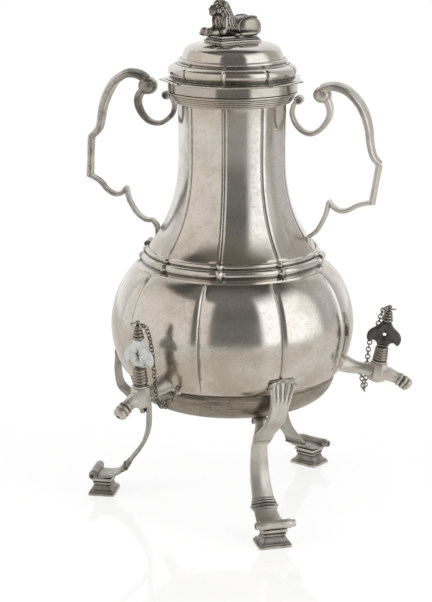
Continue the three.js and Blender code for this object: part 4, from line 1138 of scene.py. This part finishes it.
def chain_route(lean, rise, tall, hang):
    """A chain's middle line at the station of turn 90, where local +X points outward."""
    leaned = tap_frame(90, lean, rise)
    start = [moved([[-out, out, FINIAL_NECK * tall + z]], leaned)[0] for out, z in CHAIN_START]
    hung = [np.array([TAP_REACH + x, y, z]) for x, y, z in hang]
    return catmull([*start, *hung, EYE + np.array([-0.4, 0.4, -0.6])], 10)


def chain(turn, lean, rise, tall, hang):
    points = spaced(chain_route(lean, rise, tall, hang), 2 * LINK_RADIUS - WIRE * 1.1)
    links = []
    for i, (at, along) in enumerate(zip(points, unit(np.gradient(points, axis=0)))):
        flat = unit(DIAGONAL - along * (DIAGONAL @ along))
        roll_angle = radians(45 + 90 * (i % 2) + 14 * sin(i * 2.1))
        face = flat * cos(roll_angle) + np.cross(along, flat) * sin(roll_angle)
        matrix = framed(along, np.cross(face, along), face, at)
        links.append(placed(torus(LINK_RADIUS, WIRE, LINK_STRETCH, 14, 6), matrix))
    return placed(together(*links), station(turn))


def chain_ring(turn, lean, rise, tall):
    tilt = shift(0, 0, FINIAL_NECK * tall) @ station(135) @ rotation("x", -15) @ np.linalg.inv(station(135))
    return placed(torus(5.3, 0.45, 0, 36, 8), tap_frame(turn, lean, rise) @ tilt)


def chain_eye(turn):
    ring = placed(torus(2.6, 0.6, 0, 24, 8), rotation("z", 45) @ rotation("x", 90))
    pad = turned_along([(-5.2, 3.2), (-3.1, 3), (-2.6, 2.4), (-2, 1.6)], 24)
    return placed(together(ring, pad), station(turn) @ shift(*EYE) @ rotation("z", EYE_TURN))


# Putting the urn together

piece("belly", belly(), polished)
piece("bottom_pan", bottom_pan(), pan_look)
piece("neck", neck(), necked)
piece("shoulder_moulding", shoulder_moulding(), beaded)
piece("neck_collar", neck_collar(), reeded)
piece("lid_bezel", lid_bezel(), band_painted_shade, "lid")
piece("lid_dome", lid_dome(), lidded, "lid")
piece("lion_finial", lion(), lion_look, "lid", "lion", sharp=80, hollows=(60, 900, 1))

for side, turn in HANDLE_TURNS.items():
    piece(f"handle_{side}", handle(turn, HANDLE_ROUTES[side]), handle_looks[side])

for name, (turn, swing, twist, reach) in LEGS.items():
    foot_twist = shift(FOOT_RADIUS + reach, 0, 0) @ rotation("z", twist) @ shift(-FOOT_RADIUS, 0, 0)
    # Legs other than the front one take the darker copy of the cast silver, as painted shade.
    leg_look = cast if name == "front" else cast_painted_shade
    for part, mesh_data, look in (("leg_strap", leg_strap(), leg_look),
                                  ("leg_scroll", twisted(leg_scroll(), twist, reach), leg_look),
                                  ("foot", placed(foot(), foot_twist), cast_foot)):
        bent = placed(swung(mesh_data, swing, PALMETTE_TOP, LEG_JOINT), station(turn))
        piece(f"{part}_{name}", bent, look)

for name, (turn, lean, key_turn, rise, tall) in TAPS.items():
    place = tap_frame(turn, lean, rise)
    key = place @ rotation("z", key_turn) @ np.diag([1, 1, tall, 1])
    body = f"key_{name}"
    # The front grip faces the viewer and takes the pale copy of the grip metal, a painted highlight.
    grip_look = grip_painted_highlight if name == "front" else grip_dark
    for part, mesh_data, look, rides, slot in (
            ("tap_body", placed(tap_body(), place), cast, "vessel", "cast_silver"),
            ("key_plug", placed(key_plug(), key), dark, body, "dark_silver"),
            ("key_grip", placed(key_grip(), key), grip_look, body, "grip_metal"),
            ("key_finial", placed(key_finial(), key), dark, body, "dark_silver"),
            ("chain_ring", chain_ring(turn, lean, rise, tall), chain_look, "vessel", "dark_silver"),
            ("chain", chain(turn, lean, rise, tall, CHAIN_HANGS[name]), chain_look, "vessel", "dark_silver"),
            ("chain_eye", chain_eye(turn), cast, "vessel", "dark_silver")):
        piece(f"{part}_{name}", mesh_data, look, rides)

for node in ("finial_stud", "finial_nut"):
    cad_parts[node].data.materials.clear()
    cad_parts[node].data.materials.append(cast)

# Stage

VIEW_TURN = 6
CAMERA_DISTANCE = 1.348
CAMERA_HEIGHT = 0.5155
CAMERA_PITCH = 14.52
CAMERA_YAW = 0.545
CAMERA_LENS = 105.1
ROOM_RADIUS = 2.4
FLOOR_RADIUS = 1.5
MIDDLE_HEIGHT = 0.2
WHITE = (1, 1, 1, 1)
# What the metal sees of the table
TABLE_REFLECTED = (0.73, 0.695, 0.645, 1)
TABLE_POLISH = 0.07


def stand(turn, distance, height):
    """A place round the urn, with the turn from the viewer's side."""
    angle = radians(turn + VIEW_TURN)
    return AXIS[0] + sin(angle) * distance, AXIS[1] - cos(angle) * distance, height


def add_camera():
    camera = bpy.data.cameras.new("camera")
    camera.lens = CAMERA_LENS
    camera.sensor_width = 36
    camera.clip_start = 0.05
    camera.clip_end = 50
    obj = add_object("camera", camera)
    obj.location = stand(0, CAMERA_DISTANCE, CAMERA_HEIGHT)
    obj.rotation_euler = (radians(90 - CAMERA_PITCH), 0, radians(VIEW_TURN + CAMERA_YAW))
    bpy.context.scene.camera = obj


def add_world():
    """White behind the object and in its reflections, and a plain level of light otherwise."""
    world = bpy.data.worlds.new("studio")
    bpy.context.scene.world = world
    world.use_nodes = True
    s = Nodes(world.node_tree)
    light = s.add("ShaderNodeBackground", {"Color": (1, 0.99, 0.975, 1), "Strength": 0.85})
    white = s.add("ShaderNodeBackground", {"Color": WHITE, "Strength": 1.0})
    path = s.add("ShaderNodeLightPath")
    seen = s.math("MAXIMUM", (path, "Is Camera Ray"), (path, "Is Glossy Ray"))
    seen = s.math("MAXIMUM", seen, (path, "Is Transmission Ray"))
    s.add("ShaderNodeOutputWorld", {"Surface": s.mixed(seen, (light, 0), (white, 0))})


# What the metal reflects, as windows in the room round the table: turns from the viewer's side
# towards +X and heights over the horizon in degrees, softness of the edges, colour.
ROOM = (0.09, 0.086, 0.079)
WINDOWS = [
    ((-60, 60), (30, 78), (14, 18), (0.2, 0.188, 0.17)),
    ((-29, 32), (-50, 26), (5, 12), (0.185, 0.18, 0.17)),
    ((-118, -29), (-40, 46), (1.5, 1.5), (0.82, 0.765, 0.71)),
    ((32, 92), (-40, 48), (5, 13), (1.34, 1.33, 1.31)),
    ((92, 128), (-40, 55), (18, 12), (0.62, 0.60, 0.58)),
]
# The pale wall behind the urn: the turns it starts from, their softness, its top and its softness, colour
BACK = ((-118, 128), 16, (64, 14), (0.98, 0.98, 0.97))


def stage_object(name, shape, material, height):
    """An object whose mesh shape(edit) makes, about the urn's axis."""
    mesh = bpy.data.meshes.new(name)
    edit = bmesh.new()
    shape(edit)
    edit.to_mesh(mesh)
    edit.free()
    mesh.materials.append(material)
    obj = add_object(name, mesh)
    obj.location = (AXIS[0], AXIS[1], height)
    return obj


def add_room():
    """A dome that only reflections see, dark towards the viewer with soft windows in it."""
    s = Shader("room")
    s.tree.nodes.remove(s.surface)
    x, y, z = s.axes()
    turn = s.math("MULTIPLY", s.math("ARCTAN2", x, s.math("MULTIPLY", y, -1)), DEGREES)
    height = s.math("MULTIPLY", s.math("ARCTAN2", z, s.from_axis(x, y)), DEGREES)

    def inside(value, low, high, soft):
        rise = s.span(value, low - soft, low + soft)
        fall = s.span(value, high - soft, high + soft, 1, 0)
        return s.math("MULTIPLY", rise, fall)

    colour = ROOM
    for turns, heights, (soft_turn, soft_height), tone in WINDOWS:
        share = s.math("MULTIPLY", inside(turn, *turns, soft_turn), inside(height, *heights, soft_height))
        colour = s.blend(share, colour, tone)
    turns, soft_turn, (top, soft_top), tone = BACK
    behind = s.math("SUBTRACT", 1.0, inside(turn, *turns, soft_turn))
    wall = s.math("MULTIPLY", behind, s.span(height, top - soft_top, top + soft_top, 1, 0))
    light = s.add("ShaderNodeEmission", {"Color": s.blend(wall, colour, tone)})
    s.feed((light, "Emission"), s.output, "Surface")

    def dome(edit):
        bmesh.ops.create_uvsphere(edit, u_segments=64, v_segments=32, radius=ROOM_RADIUS)

    room = stage_object("room", dome, s.material, MIDDLE_HEIGHT)
    room.rotation_euler = (0, 0, radians(VIEW_TURN))
    for ray in ("camera", "diffuse", "shadow", "transmission", "volume_scatter"):
        setattr(room, f"visible_{ray}", False)


def add_floor():
    """A white table, round and wide, with a faint shadow and a fainter reflection."""
    s = Shader("floor")
    s.feed((0.95, 0.95, 0.945, 1), s.surface, "Base Color")
    s.feed(0.5, s.surface, "Roughness")
    s.feed(0.2, s.surface, "Specular IOR Level")
    white = s.add("ShaderNodeEmission", {"Color": WHITE, "Strength": 1.0})
    reflected = s.add("ShaderNodeEmission", {"Color": TABLE_REFLECTED, "Strength": 1.0})
    path = s.add("ShaderNodeLightPath")
    glow = s.mixed((path, "Is Glossy Ray"), (white, 0), (reflected, 0))
    x, y, z = s.axes()
    far = s.span(s.from_axis(x, y), 0.16, 0.5, 0.84, 1)
    table = s.mixed(far, (s.surface, "BSDF"), glow)
    mirror = s.add("ShaderNodeBsdfGlossy", {"Color": WHITE, "Roughness": 0.04})
    s.feed(s.mixed(TABLE_POLISH, table, (mirror, "BSDF")), s.output, "Surface")

    def disc(edit):
        bmesh.ops.create_circle(edit, cap_ends=True, segments=96, radius=FLOOR_RADIUS)

    floor = stage_object("floor", disc, s.material, -0.0002)


def add_lamp(name, turn, size, power, colour):
    lamp = bpy.data.lights.new(name, "AREA")
    lamp.shape = "RECTANGLE"
    lamp.size, lamp.size_y = size
    lamp.energy = power
    lamp.color = colour
    obj = add_object(name, lamp)
    obj.location = stand(turn, 1.3, 0.7)
    aim = Vector((AXIS[0], AXIS[1], MIDDLE_HEIGHT)) - obj.location
    obj.rotation_euler = aim.to_track_quat("-Z", "Y").to_euler()
    obj.visible_glossy = False


bpy.context.scene.view_settings.view_transform = "Standard"
add_camera()
add_world()
add_room()
add_floor()
add_lamp("left_lamp", -65, (0.9, 1), 9, (1, 0.97, 0.94))
add_lamp("right_lamp", 60, (0.7, 0.9), 11, (1, 1, 1))
